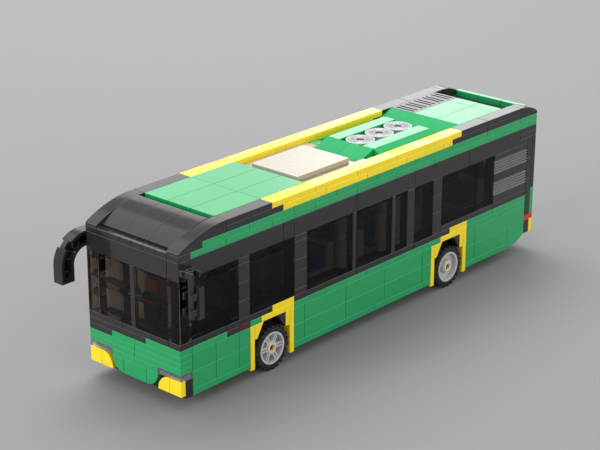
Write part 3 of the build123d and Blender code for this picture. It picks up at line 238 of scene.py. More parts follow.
SKY_LIGHT = 0.52
SKY_GREY = chart(188, 188, 189)
world = bpy.data.worlds.new("studio_sky")
bpy.context.scene.world = world
world.use_nodes = True
sky = world.node_tree
sky.nodes.clear()
sky_out = add_node(sky, "ShaderNodeOutputWorld")
sky_mix = add_node(sky, "ShaderNodeMixShader")
path = add_node(sky, "ShaderNodeLightPath")
sky_fill = add_node(sky, "ShaderNodeBackground", values={"Color": (1, 1, 1, 1), "Strength": SKY_LIGHT})
sky_seen = add_node(sky, "ShaderNodeBackground", values={"Color": SKY_GREY})
seen = combine(sky, "MAXIMUM", path.outputs["Is Camera Ray"], path.outputs["Is Glossy Ray"])
seen = combine(sky, "MAXIMUM", seen, path.outputs["Is Transmission Ray"])
sky.links.new(seen, sky_mix.inputs["Fac"])
sky.links.new(sky_fill.outputs[0], sky_mix.inputs[1])
sky.links.new(sky_seen.outputs[0], sky_mix.inputs[2])
sky.links.new(sky_mix.outputs[0], sky_out.inputs["Surface"])
print("sky light:", SKY_LIGHT)


# %% [markdown]
# ## Helpers for the finishes
# A finish that several materials share is built once, as a node group with named inputs and outputs.
# Noise on the piece's own coordinates stays in place when the toy moves, which noise on the picture
# or the world would not, so all patterns here start from it.

# %% Write the pattern helpers
def add_sockets(group, inputs, outputs):
    """Give a node group its named inputs and outputs."""
    for name, kind in inputs:
        group.interface.new_socket(name, in_out="INPUT", socket_type=kind)
    for name, kind in outputs:
        group.interface.new_socket(name, in_out="OUTPUT", socket_type=kind)


def add_noise(tree, place, size, detail):
    """Cloudy noise whose lumps are about that size, on the piece's own coordinates."""
    noise = add_node(tree, "ShaderNodeTexNoise", values={"Scale": 0.5 / size, "Detail": detail})
    tree.links.new(place.outputs["Object"], noise.inputs["Vector"])
    return noise.outputs[0]


def stretch(tree, source, low, high):
    """Map a value from 0..1 to low..high."""
    ramp = add_node(tree, "ShaderNodeMapRange", values={"To Min": low, "To Max": high})
    tree.links.new(source, ramp.inputs["Value"])
    return ramp.outputs[0]


FINE_DETAIL, SLOW_DETAIL = 3.0, 1.0  # layers of noise
SKIN_OUTPUTS = (
    ("Colour", "NodeSocketColor"), ("Roughness", "NodeSocketFloat"), ("Height", "NodeSocketFloat"),
)
print("a skin puts out:", [name for name, kind in SKIN_OUTPUTS])

# %% [markdown]
# ## The moulded skin
# Every brick is injection-moulded, so its skin is smooth but never perfect: bricks of one colour
# differ a little from batch to batch, the gloss changes where the mould was worn, and large faces
# sink by a few hundredths of a millimetre as they cool. The rounded upper edges are painted paler
# than the faces beside them, a painted highlight for the light they catch. These effects are shared
# by all opaque plastics, so they become one node group. The batch number and the painted highlight
# mask are attributes that each brick carries.

# %% Build the moulded skin
GRAIN_SIZE, WAVE_SIZE = 0.6 * MM, 9 * MM
BATCH_RANGE = (-1.0, 1.0)
CLOUD_RANGE = (0.97, 1.03)  # lightness of the slow clouds
WAVE_WEAR, GRAIN_WEAR = (-0.06, 0.08), (-0.03, 0.03)  # change of roughness
GRAIN_SHARE = 0.06  # height of the grain against the wave
moulded_skin = bpy.data.node_groups.new("moulded skin", "ShaderNodeTree")
add_sockets(
    moulded_skin,
    (
        ("Colour", "NodeSocketColor"), ("Gloss Loss", "NodeSocketFloat"),
        ("Batch Spread", "NodeSocketFloat"), ("Painted Highlight Gain", "NodeSocketFloat"),
    ),
    SKIN_OUTPUTS,
)
skin_in = add_node(moulded_skin, "NodeGroupInput")
skin_out = add_node(moulded_skin, "NodeGroupOutput")
skin_place = add_node(moulded_skin, "ShaderNodeTexCoord")
batch = add_node(moulded_skin, "ShaderNodeAttribute", {"attribute_name": "batch"})
# painted highlight: a mask of the rounded upper edges, whose colour is made lighter
painted_highlight_mask = add_node(moulded_skin, "ShaderNodeAttribute", {"attribute_name": "painted_highlight_mask"})
grain = add_noise(moulded_skin, skin_place, GRAIN_SIZE, FINE_DETAIL)
wave = add_noise(moulded_skin, skin_place, WAVE_SIZE, SLOW_DETAIL)
print("grain and wave in mm:", round(GRAIN_SIZE / MM, 1), round(WAVE_SIZE / MM, 1))

# %% [markdown]
# The three outputs are then wired. The colour gets lighter or darker by batch and cloud, and the
# rounded upper edges get a painted highlight; the roughness follows the wear; the height is the slow
# sink with a trace of grain on it.

# %% Wire the moulded skin
off_batch = stretch(moulded_skin, batch.outputs["Fac"], *BATCH_RANGE)
shade = combine(moulded_skin, "MULTIPLY", off_batch, skin_in.outputs["Batch Spread"])
face_light = combine(moulded_skin, "ADD", shade, stretch(moulded_skin, wave, *CLOUD_RANGE))
# painted highlight: the upper edges' colour is lifted by this gain
painted_highlight = combine(moulded_skin, "MULTIPLY", painted_highlight_mask.outputs["Fac"], skin_in.outputs["Painted Highlight Gain"])
tone = add_node(moulded_skin, "ShaderNodeHueSaturation")
moulded_skin.links.new(combine(moulded_skin, "ADD", face_light, painted_highlight), tone.inputs["Value"])
moulded_skin.links.new(skin_in.outputs["Colour"], tone.inputs["Color"])
moulded_skin.links.new(tone.outputs[0], skin_out.inputs["Colour"])
wave_wear = stretch(moulded_skin, wave, *WAVE_WEAR)
worn = combine(moulded_skin, "ADD", wave_wear, stretch(moulded_skin, grain, *GRAIN_WEAR))
roughness = combine(moulded_skin, "ADD", skin_in.outputs["Gloss Loss"], worn)
moulded_skin.links.new(roughness, skin_out.inputs["Roughness"])
fine = combine(moulded_skin, "MULTIPLY", grain, GRAIN_SHARE)
moulded_skin.links.new(combine(moulded_skin, "ADD", wave, fine), skin_out.inputs["Height"])
print("group:", moulded_skin.name, "nodes:", len(moulded_skin.nodes))


# %% [markdown]
# ## Opaque plastics
# Glossy plastic is a coloured body under a clear surface, which is what the Principled shader makes.
# Each colour of the toy is one material on the shared skin, with its own gloss. Black is really a
# very dark grey: a true black would swallow the edges.

# %% Write the plastic
def skin_on(material, group, values):
    """Lay a skin group into a material, with its own values, and wire it to the shader."""
    tree = material.node_tree
    shader = tree.nodes["Principled BSDF"]
    skin = tree.nodes.new("ShaderNodeGroup")
    skin.node_tree = group
    for name, value in values.items():
        skin.inputs[name].default_value = value
    tree.links.new(skin.outputs["Colour"], shader.inputs["Base Color"])
    tree.links.new(skin.outputs["Roughness"], shader.inputs["Roughness"])
    return skin, shader


def lift(material, skin, shader, depth):
    """Let a skin's height tilt the surface, as deep as given."""
    tree = material.node_tree
    bump = add_node(tree, "ShaderNodeBump", values={"Strength": 1.0, "Distance": depth})
    tree.links.new(skin.outputs["Height"], bump.inputs["Height"])
    tree.links.new(bump.outputs[0], shader.inputs["Normal"])


PLASTIC_BEND = 1.5  # index of refraction


def plastic(name, colour, gloss_loss, spread=0.035, sink=0.03 * MM, edge=0.65):
    """A glossy opaque plastic; edge sets how strong the painted highlight is on its rounded upper edges.
    """
    material = bpy.data.materials.new(name)
    material.use_nodes = True
    values = {"Colour": colour, "Gloss Loss": gloss_loss, "Batch Spread": spread, "Painted Highlight Gain": edge}
    skin, shader = skin_on(material, moulded_skin, values)
    lift(material, skin, shader, sink)
    shader.inputs["IOR"].default_value = PLASTIC_BEND
    return material


print("index of refraction:", PLASTIC_BEND)

# %% [markdown]
# One table then mixes all the colours. Green, yellow and black are the polished outer bricks; the
# greys inside are duller. Each edge value is a painted highlight on the rounded upper edges, and black
# gets the most, so that its seams show as light lines.

# %% Mix the opaque plastics
finishes = {
    # edge: how strong the painted highlight is on each colour's rounded upper edges
    "green": plastic("green_plastic", chart(39, 160, 97), 0.14, edge=0.5),
    "yellow": plastic("yellow_plastic", chart(255, 226, 38), 0.14, edge=0.25),
    "black": plastic("black_plastic", chart(42, 42, 43), 0.14, spread=0.06, edge=3.0),
    "dark_grey": plastic("dark_grey_plastic", chart(84, 86, 88), 0.30),
    "light_grey": plastic("light_grey_plastic", chart(214, 215, 216), 0.28),
    "rim_grey": plastic("rim_grey_plastic", chart(192, 194, 195), 0.26, spread=0.01),
    "tan": plastic("tan_plastic", chart(226, 208, 160), 0.25),
    "blue": plastic("seat_blue_plastic", chart(40, 100, 205), 0.30),
    "brown": plastic("cab_brown_plastic", chart(196, 92, 62), 0.30),
}
deck_grey = plastic("deck_grey_plastic", chart(54, 55, 56), 0.14)
grille_grey = plastic("grille_grey_plastic", chart(118, 119, 120), 0.20)
fan_grey = plastic("fan_grey_plastic", chart(158, 159, 161), 0.20, spread=0.10)
pale_tan = plastic("pale_tan_plastic", chart(178, 172, 157), 0.25, sink=0.012 * MM)
print("opaque plastics:", moulded_skin.users)

# %% [markdown]
# ## See-through plastics
# The windows are smoked, a dark brown that lets a little of the inside through; the lamps are clear
# and red, a little milky, so that they show their colour against a dark cavity. All have almost no
# roughness. Their skin only needs a trace of cloud in the colour and a slow wave in the surface,
# which bends the reflections the way thin moulded panes do.

# %% Build the pane skin
PANE_WAVE, PANE_HAZE = 12 * MM, 2 * MM
PANE_CLOUD = (0.92, 1.08)
HAZE_RANGE = (0.0, 0.04)
pane_skin = bpy.data.node_groups.new("pane skin", "ShaderNodeTree")
add_sockets(pane_skin, (("Colour", "NodeSocketColor"), ("Gloss Loss", "NodeSocketFloat")), SKIN_OUTPUTS)
pane_in = add_node(pane_skin, "NodeGroupInput")
pane_out = add_node(pane_skin, "NodeGroupOutput")
pane_place = add_node(pane_skin, "ShaderNodeTexCoord")
pane_wave = add_noise(pane_skin, pane_place, PANE_WAVE, SLOW_DETAIL)
pane_haze = add_noise(pane_skin, pane_place, PANE_HAZE, FINE_DETAIL)
pane_tone = add_node(pane_skin, "ShaderNodeHueSaturation")
pane_skin.links.new(stretch(pane_skin, pane_wave, *PANE_CLOUD), pane_tone.inputs["Value"])
pane_skin.links.new(pane_in.outputs["Colour"], pane_tone.inputs["Color"])
pane_skin.links.new(pane_tone.outputs[0], pane_out.inputs["Colour"])
haze = stretch(pane_skin, pane_haze, *HAZE_RANGE)
hazy = combine(pane_skin, "ADD", pane_in.outputs["Gloss Loss"], haze)
pane_skin.links.new(hazy, pane_out.inputs["Roughness"])
pane_skin.links.new(pane_wave, pane_out.inputs["Height"])
print("group:", pane_skin.name, "nodes:", len(pane_skin.nodes))


# %% [markdown]
# Glass blocks the straight path from a lamp to what lies behind it, so the seats would sit in the
# dark. For shadow rays the material is therefore a plain tint that lets the lamps in. The smoked
# panes also bend light less than solid plastic, which keeps their mirror image of the floor faint.

# %% Mix the see-through plastics
def see_through(name, colour, gloss_loss=0.03, sink=0.02 * MM, bend=PLASTIC_BEND, clarity=1.0):
    """A tinted plastic that lets light through; lamps shine straight into it."""
    material = bpy.data.materials.new(name)
    material.use_nodes = True
    skin, shader = skin_on(material, pane_skin, {"Colour": colour, "Gloss Loss": gloss_loss})
    lift(material, skin, shader, sink)
    shader.inputs["IOR"].default_value = bend
    shader.inputs["Transmission Weight"].default_value = clarity
    tree = material.node_tree
    ray = add_node(tree, "ShaderNodeLightPath")
    tint = add_node(tree, "ShaderNodeBsdfTransparent")
    choice = add_node(tree, "ShaderNodeMixShader")
    tree.links.new(skin.outputs["Colour"], tint.inputs["Color"])
    tree.links.new(ray.outputs["Is Shadow Ray"], choice.inputs["Fac"])
    tree.links.new(shader.outputs[0], choice.inputs[1])
    tree.links.new(tint.outputs[0], choice.inputs[2])
    tree.links.new(choice.outputs[0], tree.nodes["Material Output"].inputs["Surface"])
    return material


finishes["smoked"] = see_through("smoked_plastic", (0.26, 0.238, 0.22, 1.0), bend=1.2)
# a lighter copy of the smoked plastic for the front: painted light for the brighter inside behind it
painted_light_smoked = see_through("painted_light_smoked_plastic", (0.38, 0.325, 0.28, 1.0), bend=1.25)
finishes["clear"] = see_through("clear_plastic", (0.93, 0.94, 0.94, 1.0), gloss_loss=0.08, clarity=0.92)
finishes["red"] = see_through("red_lamp_plastic", (0.80, 0.022, 0.02, 1.0), clarity=0.3)
finishes["dark_red"] = see_through("dark_red_lamp_plastic", (0.24, 0.03, 0.016, 1.0), clarity=0.6)
print("see-through plastics:", pane_skin.users)


# %% [markdown]
# ## Rounding the bricks
# A solid from the frame has razor edges, and no moulded brick has. A copy of each solid is merged,
# its flat faces are joined up, and every hard edge is rounded by a small bevel, which is what catches
# the light along each seam. Curved faces have many shallow edges; those stay as they are and are only
# shaded smooth. The upper edges are rounded last, a little more, and marked for a painted highlight,
# which colours them lighter than their faces.

# %% Write the rounding
WELD = 0.002 * MM
FLAT = radians(0.4)
HARD_EDGE = radians(32)
LOOKS_UP = 0.7  # upward share of a face's normal
EDGE_ROUND = 0.20 * MM  # along the upper edges, which catch the light
EDGE_BREAK = 0.11 * MM  # along all others


def merged_copy(node):
    """A copy of a solid's mesh with its corners merged and its flat faces joined."""
    shape = bmesh.new()
    shape.from_mesh(frame["nodes"][node].data)
    bmesh.ops.remove_doubles(shape, verts=shape.verts, dist=WELD)
    bmesh.ops.dissolve_limit(shape, angle_limit=FLAT, verts=shape.verts, edges=shape.edges)
    return shape


def hard_edges(shape, upper):
    """The hard edges round the faces that look up, or all the other hard edges."""
    found = []
    for edge in shape.edges:
        if edge.is_manifold and edge.calc_face_angle() > HARD_EDGE:
            looks_up = any(face.normal.z > LOOKS_UP for face in edge.link_faces)
            if looks_up == upper:
                found.append(edge)
    return found


def round_edges(shape):
    """Bevel every hard edge of a shape, the upper edges more than the rest, and mark the upper ones for
    the painted highlight.
    """
    # painted highlight mask: 1 on the rounded faces of the upper edges
    layer = shape.faces.layers.float.new("painted_highlight_mask")
    for upper, offset, steps in ((False, EDGE_BREAK, 1), (True, EDGE_ROUND, 2)):
        made = bmesh.ops.bevel(
            shape, geom=hard_edges(shape, upper), offset=offset, offset_type="OFFSET", segments=steps,
            profile=0.5, affect="EDGES", clamp_overlap=True, material=-1,
        )
        for face in made["faces"]:
            face[layer] = 1.0 if upper else 0.0


print("edges are rounded by", round(EDGE_ROUND / MM, 2), "and", round(EDGE_BREAK / MM, 2), "mm")


# %% [markdown]
# ## From a shape to a piece
# Each brick in a shape gets its batch number, found by walking over its connected corners. The shape
# then becomes a mesh with smooth shading, weighted so that the large flat faces stay flat. A piece
# rides on the body that it belongs to, and the one moulded from a solid takes that solid's place.

# %% Write the moulding
BATCH_SEED = 7
batches = random.Random(BATCH_SEED)
FLAT_FACE_WEIGHT = 100


def give_batches(shape):
    """Give every connected brick of a shape one batch number from 0 to 1."""
    layer = shape.verts.layers.float.new("batch")
    for vert in shape.verts:
        vert.tag = False
    for first in shape.verts:
        if first.tag:
            continue
        number = batches.random()
        first.tag = True
        waiting = [first]
        while waiting:
            vert = waiting.pop()
            vert[layer] = number
            for edge in vert.link_edges:
                other = edge.other_vert(vert)
                if not other.tag:
                    other.tag = True
                    waiting.append(other)


def make_piece(name, shape, finish, body):
    """Turn a shape into a piece of the toy that rides on a body."""
    give_batches(shape)
    mesh = bpy.data.meshes.new(name)
    shape.to_mesh(mesh)
    shape.free()
    for spare in ("custom_normal", "sharp_edge", "sharp_face"):
        if spare in mesh.attributes:
            mesh.attributes.remove(mesh.attributes[spare])
    mesh.shade_smooth()
    mesh.materials.clear()
    mesh.materials.append(finish)
    piece = bpy.data.objects.new(name, mesh)
    bpy.context.scene.collection.objects.link(piece)
    even = piece.modifiers.new("even_shading", "WEIGHTED_NORMAL")
    even.weight = FLAT_FACE_WEIGHT
    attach(piece, body)
    return piece


def mould(node, slot, finish=None, before_rounding=None):
    """Replace a solid by a moulded copy with rounded edges."""
    shape = merged_copy(node)
    if before_rounding:
        before_rounding(shape)
    round_edges(shape)
    body = frame["nodes"][node]["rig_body"]
    piece = make_piece(f"moulded_{node}", shape, finish or finishes[slot], body)
    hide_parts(node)
    return piece


print("batch numbers are drawn from seed", BATCH_SEED)

# %% [markdown]
# ## The opaque bricks
# Walls, roof, bumpers, mirrors and the inside are plain bricks, plates, tiles and slopes, so one loop
# moulds them all from a table of finishes. A few have a shade of their own.

# %% Mould the opaque bricks
OPAQUE = {
    "green": (
        "green_bricks_left", "green_bricks_right", "bumper_green", "front_green", "rear_green",
        "roof_plates", "roof_tiles", "cooling_unit",
    ),
    "yellow": ("yellow_bricks_left", "yellow_bricks_right", "bumper_yellow", "roof_yellow"),
    "black": (
        "arch_bricks", "black_bricks_left", "black_bricks_right", "dome_slopes", "door_frames",
        "front_black", "front_brick", "header_bricks", "mirror_arm_right", "mirror_bar_left",
        "mirror_bracket_left", "mirror_plate_left", "rear_black", "rear_bricks", "roof_black",
        "windscreen_bar",
    ),
    "dark_grey": ("floor_bricks", "dashboard", "steering_wheel"),
    "light_grey": ("grab_poles", "seats"),
    "tan": ("axle_pins",),
    "blue": ("seat_pads",),
    "brown": ("ticket_box",),
}
# columns: solid, slot, its own shade
OWN_SHADES = (
    ("roof_hatch", "tan", pale_tan), ("driver_seat", "light_grey", grille_grey),
    ("deck_grilles", "dark_grey", deck_grey), ("side_grille_left", "dark_grey", grille_grey),
    ("side_grille_right", "dark_grey", grille_grey),
)
moulded = [mould(node, slot) for slot, nodes in OPAQUE.items() for node in nodes]
moulded += [mould(node, slot, shade) for node, slot, shade in OWN_SHADES]
print("moulded pieces:", len(moulded), "faces:", sum(len(p.data.polygons) for p in moulded))

# %% [markdown]
# ## Windows
# The side windows are panes and panels flush with the wall. The corners beside the windscreen are
# stacks of hollow bricks. They are moulded like the rest, in smoked plastic. At the front the smoked
# colour is painted lighter, painted light for the brighter inside that shows there.

# %% Mould the windows
SIDE_WINDOWS = ("side_glass_left", "side_glass_right", "rear_window", "door_panes")
FRONT_WINDOWS = ("windscreen", "corner_glass")
windows = [mould(node, "smoked") for node in SIDE_WINDOWS]
windows += [mould(node, "smoked", painted_light_smoked) for node in FRONT_WINDOWS]
print("windows:", [p.name for p in windows])

# %% [markdown]
# ## Lamps
# A see-through plate shows that it is hollow, so each lamp gets its cavity: the face below is inset by
# the wall's thickness and the inner face is pushed up.

# %% Hollow the lamps
LAMP_WALL = 1.4 * MM
LAMP_CAVITY = 2.0 * MM
LOOKS_DOWN = -0.9


def hollow_below(shape):
    """Press a cavity into every face that looks down."""
    down = [face for face in shape.faces if face.normal.z < LOOKS_DOWN]
    bmesh.ops.inset_individual(shape, faces=down, thickness=LAMP_WALL)
    pushed = bmesh.ops.extrude_discrete_faces(shape, faces=down)["faces"]
    corners = list({vert for face in pushed for vert in face.verts})
    bmesh.ops.translate(shape, verts=corners, vec=(0, 0, LAMP_CAVITY))


LAMPS = (("headlamps", "clear"), ("tail_lamps", "red"), ("side_lamps", "dark_red"))
lamps = [mould(node, slot, before_rounding=hollow_below) for node, slot in LAMPS]
print("lamps:", [p.name for p in lamps])

# %% [markdown]
# ## Wheels
# A rim is one moulding: a dished ring, and at the front six pairs of spokes round a hub. Its solid has
# the right shape, so it only needs rounded edges.

# %% Mould the rims
SIDES = (("left", 1), ("right", -1))  # which way each side lies from the middle
WHEELS = [(axle, side, sign) for axle in ("front", "rear") for side, sign in SIDES]
rims = [mould(f"rim_{axle}_{side}", "rim_grey") for axle, side, sign in WHEELS]
print("rims:", [p.name for p in rims])

# %% [markdown]
# The tyre is soft black rubber. Rubber is dull, with a fine grain and a slow change of shade, so it
# takes the moulded skin with much of the gloss gone.

# %% Mix the rubber
RUBBER_ROUGHNESS = 0.58
RUBBER_SINK = 0.05 * MM
finishes["rubber"] = bpy.data.materials.new("tyre_rubber")
finishes["rubber"].use_nodes = True
rubber_skin, rubber_shader = skin_on(
    finishes["rubber"], moulded_skin,
    {"Colour": chart(34, 34, 35), "Gloss Loss": RUBBER_ROUGHNESS, "Batch Spread": 0.02},
)
lift(finishes["rubber"], rubber_skin, rubber_shader, RUBBER_SINK)
print("rubber roughness about", RUBBER_ROUGHNESS)

# %% [markdown]
# The tyre's body is a profile with a bead ring on its side wall, spun round the axle. The tread is two
# staggered rows of lugs; a lug is a small block with rounded edges, turned round the tyre. Spinning
# gives a clean round body, and blocks keep the lugs crisp, where a bump would leave the outline flat.

# %% Shape the tyre
TYRE_RADIUS = 12 * MM
AXLE_HEIGHT = TYRE_RADIUS
AXLE_LINES = {"front": along(8), "rear": along(26)}
TYRE_TURN = 64
LUGS = 23
LUG_HALF = 0.85 * MM / TYRE_RADIUS  # half of a lug's width as an angle round the tyre
LUG_WIDTH = 2 * TYRE_RADIUS * sin(LUG_HALF)
LUG_HEIGHT, LUG_MIDDLE, LUG_ROUND = 1.7 * MM, 11.09 * MM, 0.22 * MM
# columns: radius and distance from the middle plane of the bus, in millimetres
CARCASS = (
    (8.62, 24.9), (8.8, 24.65), (10.3, 24.65), (10.85, 25.0), (11.0, 25.5), (11.0, 30.9), (10.85, 31.4),
    (10.3, 31.65), (10.05, 31.65), (9.95, 31.78), (9.55, 31.78), (9.45, 31.6), (8.8, 31.6), (8.62, 31.4),
)
# rows of lugs: inner and outer edge in millimetres, share of the pitch by which the row is turned
LUG_ROWS = ((24.7, 28.15, 1.0), (28.25, 31.7, 0.5))


def spun_carcass(sign):
    """The tyre's body, spun round the axle from its profile."""
    shape = bmesh.new()
    ring = [shape.verts.new((0, sign * y * MM, radius * MM)) for radius, y in CARCASS]
    for first, second in zip(ring, ring[1:] + ring[:1]):
        shape.edges.new((first, second))
    bmesh.ops.spin(
        shape, geom=list(shape.verts) + list(shape.edges), cent=(0, 0, 0), axis=(0, 1, 0),
        angle=2 * pi, steps=TYRE_TURN, use_merge=True, use_duplicate=False,
    )
    bmesh.ops.remove_doubles(shape, verts=shape.verts, dist=WELD)
    bmesh.ops.recalc_face_normals(shape, faces=shape.faces)
    return shape


def add_lug(shape, near, far, angle):
    """One lug, a block with rounded edges, at an angle round the tyre."""
    lug = bmesh.ops.create_cube(shape, size=1.0)["verts"]
    bmesh.ops.scale(shape, vec=(LUG_WIDTH, abs(far - near) * MM, LUG_HEIGHT), verts=lug)
    bmesh.ops.translate(shape, vec=(0, (near + far) / 2 * MM, LUG_MIDDLE), verts=lug)
    edges = list({edge for vert in lug for edge in vert.link_edges})
    made = bmesh.ops.bevel(
        shape, geom=edges, offset=LUG_ROUND, offset_type="OFFSET", segments=2,
        profile=0.5, affect="EDGES", clamp_overlap=True, material=-1,
    )
    block = list({vert for face in made["faces"] for vert in face.verts})
    bmesh.ops.rotate(shape, verts=block, cent=(0, 0, 0), matrix=Matrix.Rotation(angle, 3, "Y"))


print("lugs in a row:", LUGS, "width in mm:", round(LUG_WIDTH / MM, 2))

# %% [markdown]
# All four tyres come from the same profile, mirrored for the right side, and are moved to their axle.
# Each turns with its own wheel.

# %% Fit the tyres
tyres = []
for axle, side, sign in WHEELS:
    tyre = spun_carcass(sign)
    for near, far, turn in LUG_ROWS:
        for lug in range(LUGS):
            add_lug(tyre, sign * near, sign * far, pi - LUG_HALF - (lug + turn) * 2 * pi / LUGS)
    bmesh.ops.translate(tyre, verts=tyre.verts, vec=(AXLE_LINES[axle], 0, AXLE_HEIGHT))
    name = f"tyre_rubber_{axle}_{side}"
    piece = make_piece(name, tyre, finishes["rubber"], f"wheel_{axle}_{side}")
    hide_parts(f"tyre_{axle}_{side}")
    tyres.append(piece)
print("tyres:", len(tyres), "faces each:", len(tyres[0].data.polygons))

# %% [markdown]
# ## Fans on the roof
# Each fan is a round tile with a hole in its middle and a guard of fine ribs. The disc comes from its
# solid; the ribs are thin bars set round it that stand a tenth of a millimetre proud, so they read as
# texture from far away.

# %% Rib the fans
FAN_LINES = [along(s) for s in (21, 23, 25)]
FAN_RIBS = 28
FAN_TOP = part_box("roof_fans")[1].z
RIB_PROUD = 0.1 * MM
RIB_SIZE = Vector((4.4, 0.45, 0.5)) * MM
RIB_MIDDLE = 5.15 * MM  # distance of a rib's middle from the fan's axis
fans = merged_copy("roof_fans")
bmesh.ops.translate(fans, verts=fans.verts, vec=(0, 0, -RIB_PROUD))
round_edges(fans)
for x in FAN_LINES:
    for rib in range(FAN_RIBS):
        turn = Matrix.Rotation(2 * pi * rib / FAN_RIBS, 3, "Z")
        bar = bmesh.ops.create_cube(fans, size=1.0)["verts"]
        bmesh.ops.scale(fans, vec=RIB_SIZE, verts=bar)
        bmesh.ops.translate(fans, vec=(RIB_MIDDLE, 0, FAN_TOP - RIB_SIZE.z / 2), verts=bar)
        bmesh.ops.rotate(fans, verts=bar, cent=(0, 0, 0), matrix=turn)
        bmesh.ops.translate(fans, vec=(x, 0, 0), verts=bar)
fan_piece = make_piece("ribbed_fans", fans, fan_grey, "body")
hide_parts("roof_fans")
print("fans:", len(FAN_LINES), "ribs each:", FAN_RIBS)


# %% [markdown]
# In the hole of each fan sits a dark hub. It is a short closed cylinder, a shape that comes back in
# smaller sizes further down, so a helper makes it.

# %% Set the fan hubs
def add_cylinder(shape, radius, height, turns, place):
    """A closed cylinder, put in its place by a matrix."""
    bmesh.ops.create_cone(
        shape, cap_ends=True, segments=turns, radius1=radius, radius2=radius, depth=height, matrix=place
    )


HUB_RADIUS, HUB_HEIGHT, HUB_DROP = 2.3 * MM, 2.2 * MM, 1.9 * MM
HUB_TURN = 24
hubs = bmesh.new()
for x in FAN_LINES:
    middle = Matrix.Translation((x, 0, FAN_TOP - HUB_DROP))
    add_cylinder(hubs, HUB_RADIUS, HUB_HEIGHT, HUB_TURN, middle)
round_edges(hubs)
make_piece("fan_hubs", hubs, finishes["black"], "body")
print("fan hubs:", len(FAN_LINES))

# %% [markdown]
# ## Under the bus
# Seen from below, the chassis plates are open boxes with a tube between every four studs. The solids
# have one of the tubes; the others are thin rings, spun from a small section, with few faces because
# there are many of them. A spin can turn faces inward, so the rings' normals are recalculated.

# %% Set the chassis tubes
TUBE_FOOT, TUBE_TOP = 6.4 * MM, 8.62 * MM
TUBE_OUTER, TUBE_BORE = 3.25 * MM, 2.4 * MM
TUBE_TURN = 14
TUBE_SECTION = (
    (TUBE_OUTER, TUBE_TOP), (TUBE_OUTER, TUBE_FOOT), (TUBE_BORE, TUBE_FOOT), (TUBE_BORE, TUBE_TOP),
)
# columns: front and rear stud line of a plate, half of its width in studs
CHASSIS = ((1, 6, 3), (6, 10, 2), (10, 17, 3), (17, 24, 3), (24, 28, 2), (28, 33, 3))
SOLID_TUBE = (2, 0)  # stud line and row of the tube that the solids have
tube_places = [
    (s, row) for start, end, half in CHASSIS for s in range(start + 1, end)
    for row in range(1 - half, half) if (s, row) != SOLID_TUBE
]
chassis = merged_copy("chassis_plates")
round_edges(chassis)
plate_faces = set(chassis.faces)
for s, row in tube_places:
    section = [chassis.verts.new((along(s) + radius, row * STUD, z)) for radius, z in TUBE_SECTION]
    edges = [chassis.edges.new(pair) for pair in zip(section[:-1], section[1:])]
    bmesh.ops.spin(
        chassis, geom=section + edges, cent=(along(s), row * STUD, 0), axis=(0, 0, 1),
        angle=2 * pi, steps=TUBE_TURN, use_merge=True, use_duplicate=False,
    )
tube_faces = [face for face in chassis.faces if face not in plate_faces]
bmesh.ops.recalc_face_normals(chassis, faces=tube_faces)
chassis_piece = make_piece("moulded_chassis_plates", chassis, finishes["dark_grey"], "body")
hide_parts("chassis_plates")
print("tubes:", len(tube_places))

# %% [markdown]
# ## Studs in the corner windows
# The hollow corner bricks stand on each other's studs, and the studs show through the smoked plastic.
# Each is a short closed cylinder with a rounded top edge.

# %% Set the corner studs
PLATE = 3.2 * MM  # height of one plate
CORNER_TOPS = (14, 17, 20)  # plate levels of the tops that carry a stud
CORNER_LINE, CORNER_ROW = 0.5, 3.5  # studs behind the front, studs out from the middle
STUD_RADIUS, STUD_RISE = 2.35 * MM, 1.7 * MM
STUD_TURN = 24
STUD_SINK = 0.04 * MM  # how far a stud sits in the brick below
studs = bmesh.new()
for level in CORNER_TOPS:
    for sign in (1, -1):
        z = level * PLATE - STUD_SINK + STUD_RISE / 2
        middle = Matrix.Translation((along(CORNER_LINE), sign * CORNER_ROW * STUD, z))
        add_cylinder(studs, STUD_RADIUS, STUD_RISE, STUD_TURN, middle)
round_edges(studs)
# the studs take the lighter smoked copy, painted light like the front panes
make_piece("corner_studs", studs, painted_light_smoked, "body")
print("corner studs:", 2 * len(CORNER_TOPS))


# %% [markdown]
# ## Ends of the wheel pins
# A pin's outer end is a flat collar that keeps the wheel on. It is a small profile spun round the
# axle, which gives the rounded rim that a plain ring lacks. The pin stays still while the wheel turns
# on it, so the collar rides on the body.

# %% Spin the pin collars
def spin_profile(shape, profile, place, axis, across, turns):
    """Spin a profile of radii and lengths round an axis through a place."""
    place, axis, across = Vector(place), Vector(axis), Vector(across)
    ring = [shape.verts.new(place + across * radius + axis * length) for radius, length in profile]
    edges = [shape.edges.new(pair) for pair in zip(ring[:-1], ring[1:])]
    bmesh.ops.spin(
        shape, geom=ring + edges, cent=place, axis=axis, angle=2 * pi, steps=turns,
        use_merge=True, use_duplicate=False,
    )
    bmesh.ops.remove_doubles(shape, verts=shape.verts, dist=WELD)
    bmesh.ops.recalc_face_normals(shape, faces=shape.faces)


def in_metres(profile):
    """A profile given in millimetres, in metres."""
    return [(radius * MM, length * MM) for radius, length in profile]


COLLAR = in_metres((
    (1.7, 0.0), (2.85, 0.0), (2.9, 0.1), (2.9, 0.5), (2.75, 0.6), (1.85, 0.6), (1.7, 0.45), (1.7, 0.0),
))
COLLAR_TURN = 40
HUB_FACE = 31.1 * MM  # distance of the rims' hubs from the middle
collars = bmesh.new()
for axle, side, sign in WHEELS:
    place = (AXLE_LINES[axle], sign * HUB_FACE, AXLE_HEIGHT)
    spin_profile(collars, COLLAR, place, (0, sign, 0), (1, 0, 0), COLLAR_TURN)
make_piece("pin_collars", collars, finishes["tan"], "body")
print("collars:", len(WHEELS))

# %% [markdown]
# The pin's hole looks black from outside, since it lies in shade. Light that finds its way into the
# pale bore would make it glow, so a dark plug sits a little way down as painted shade.

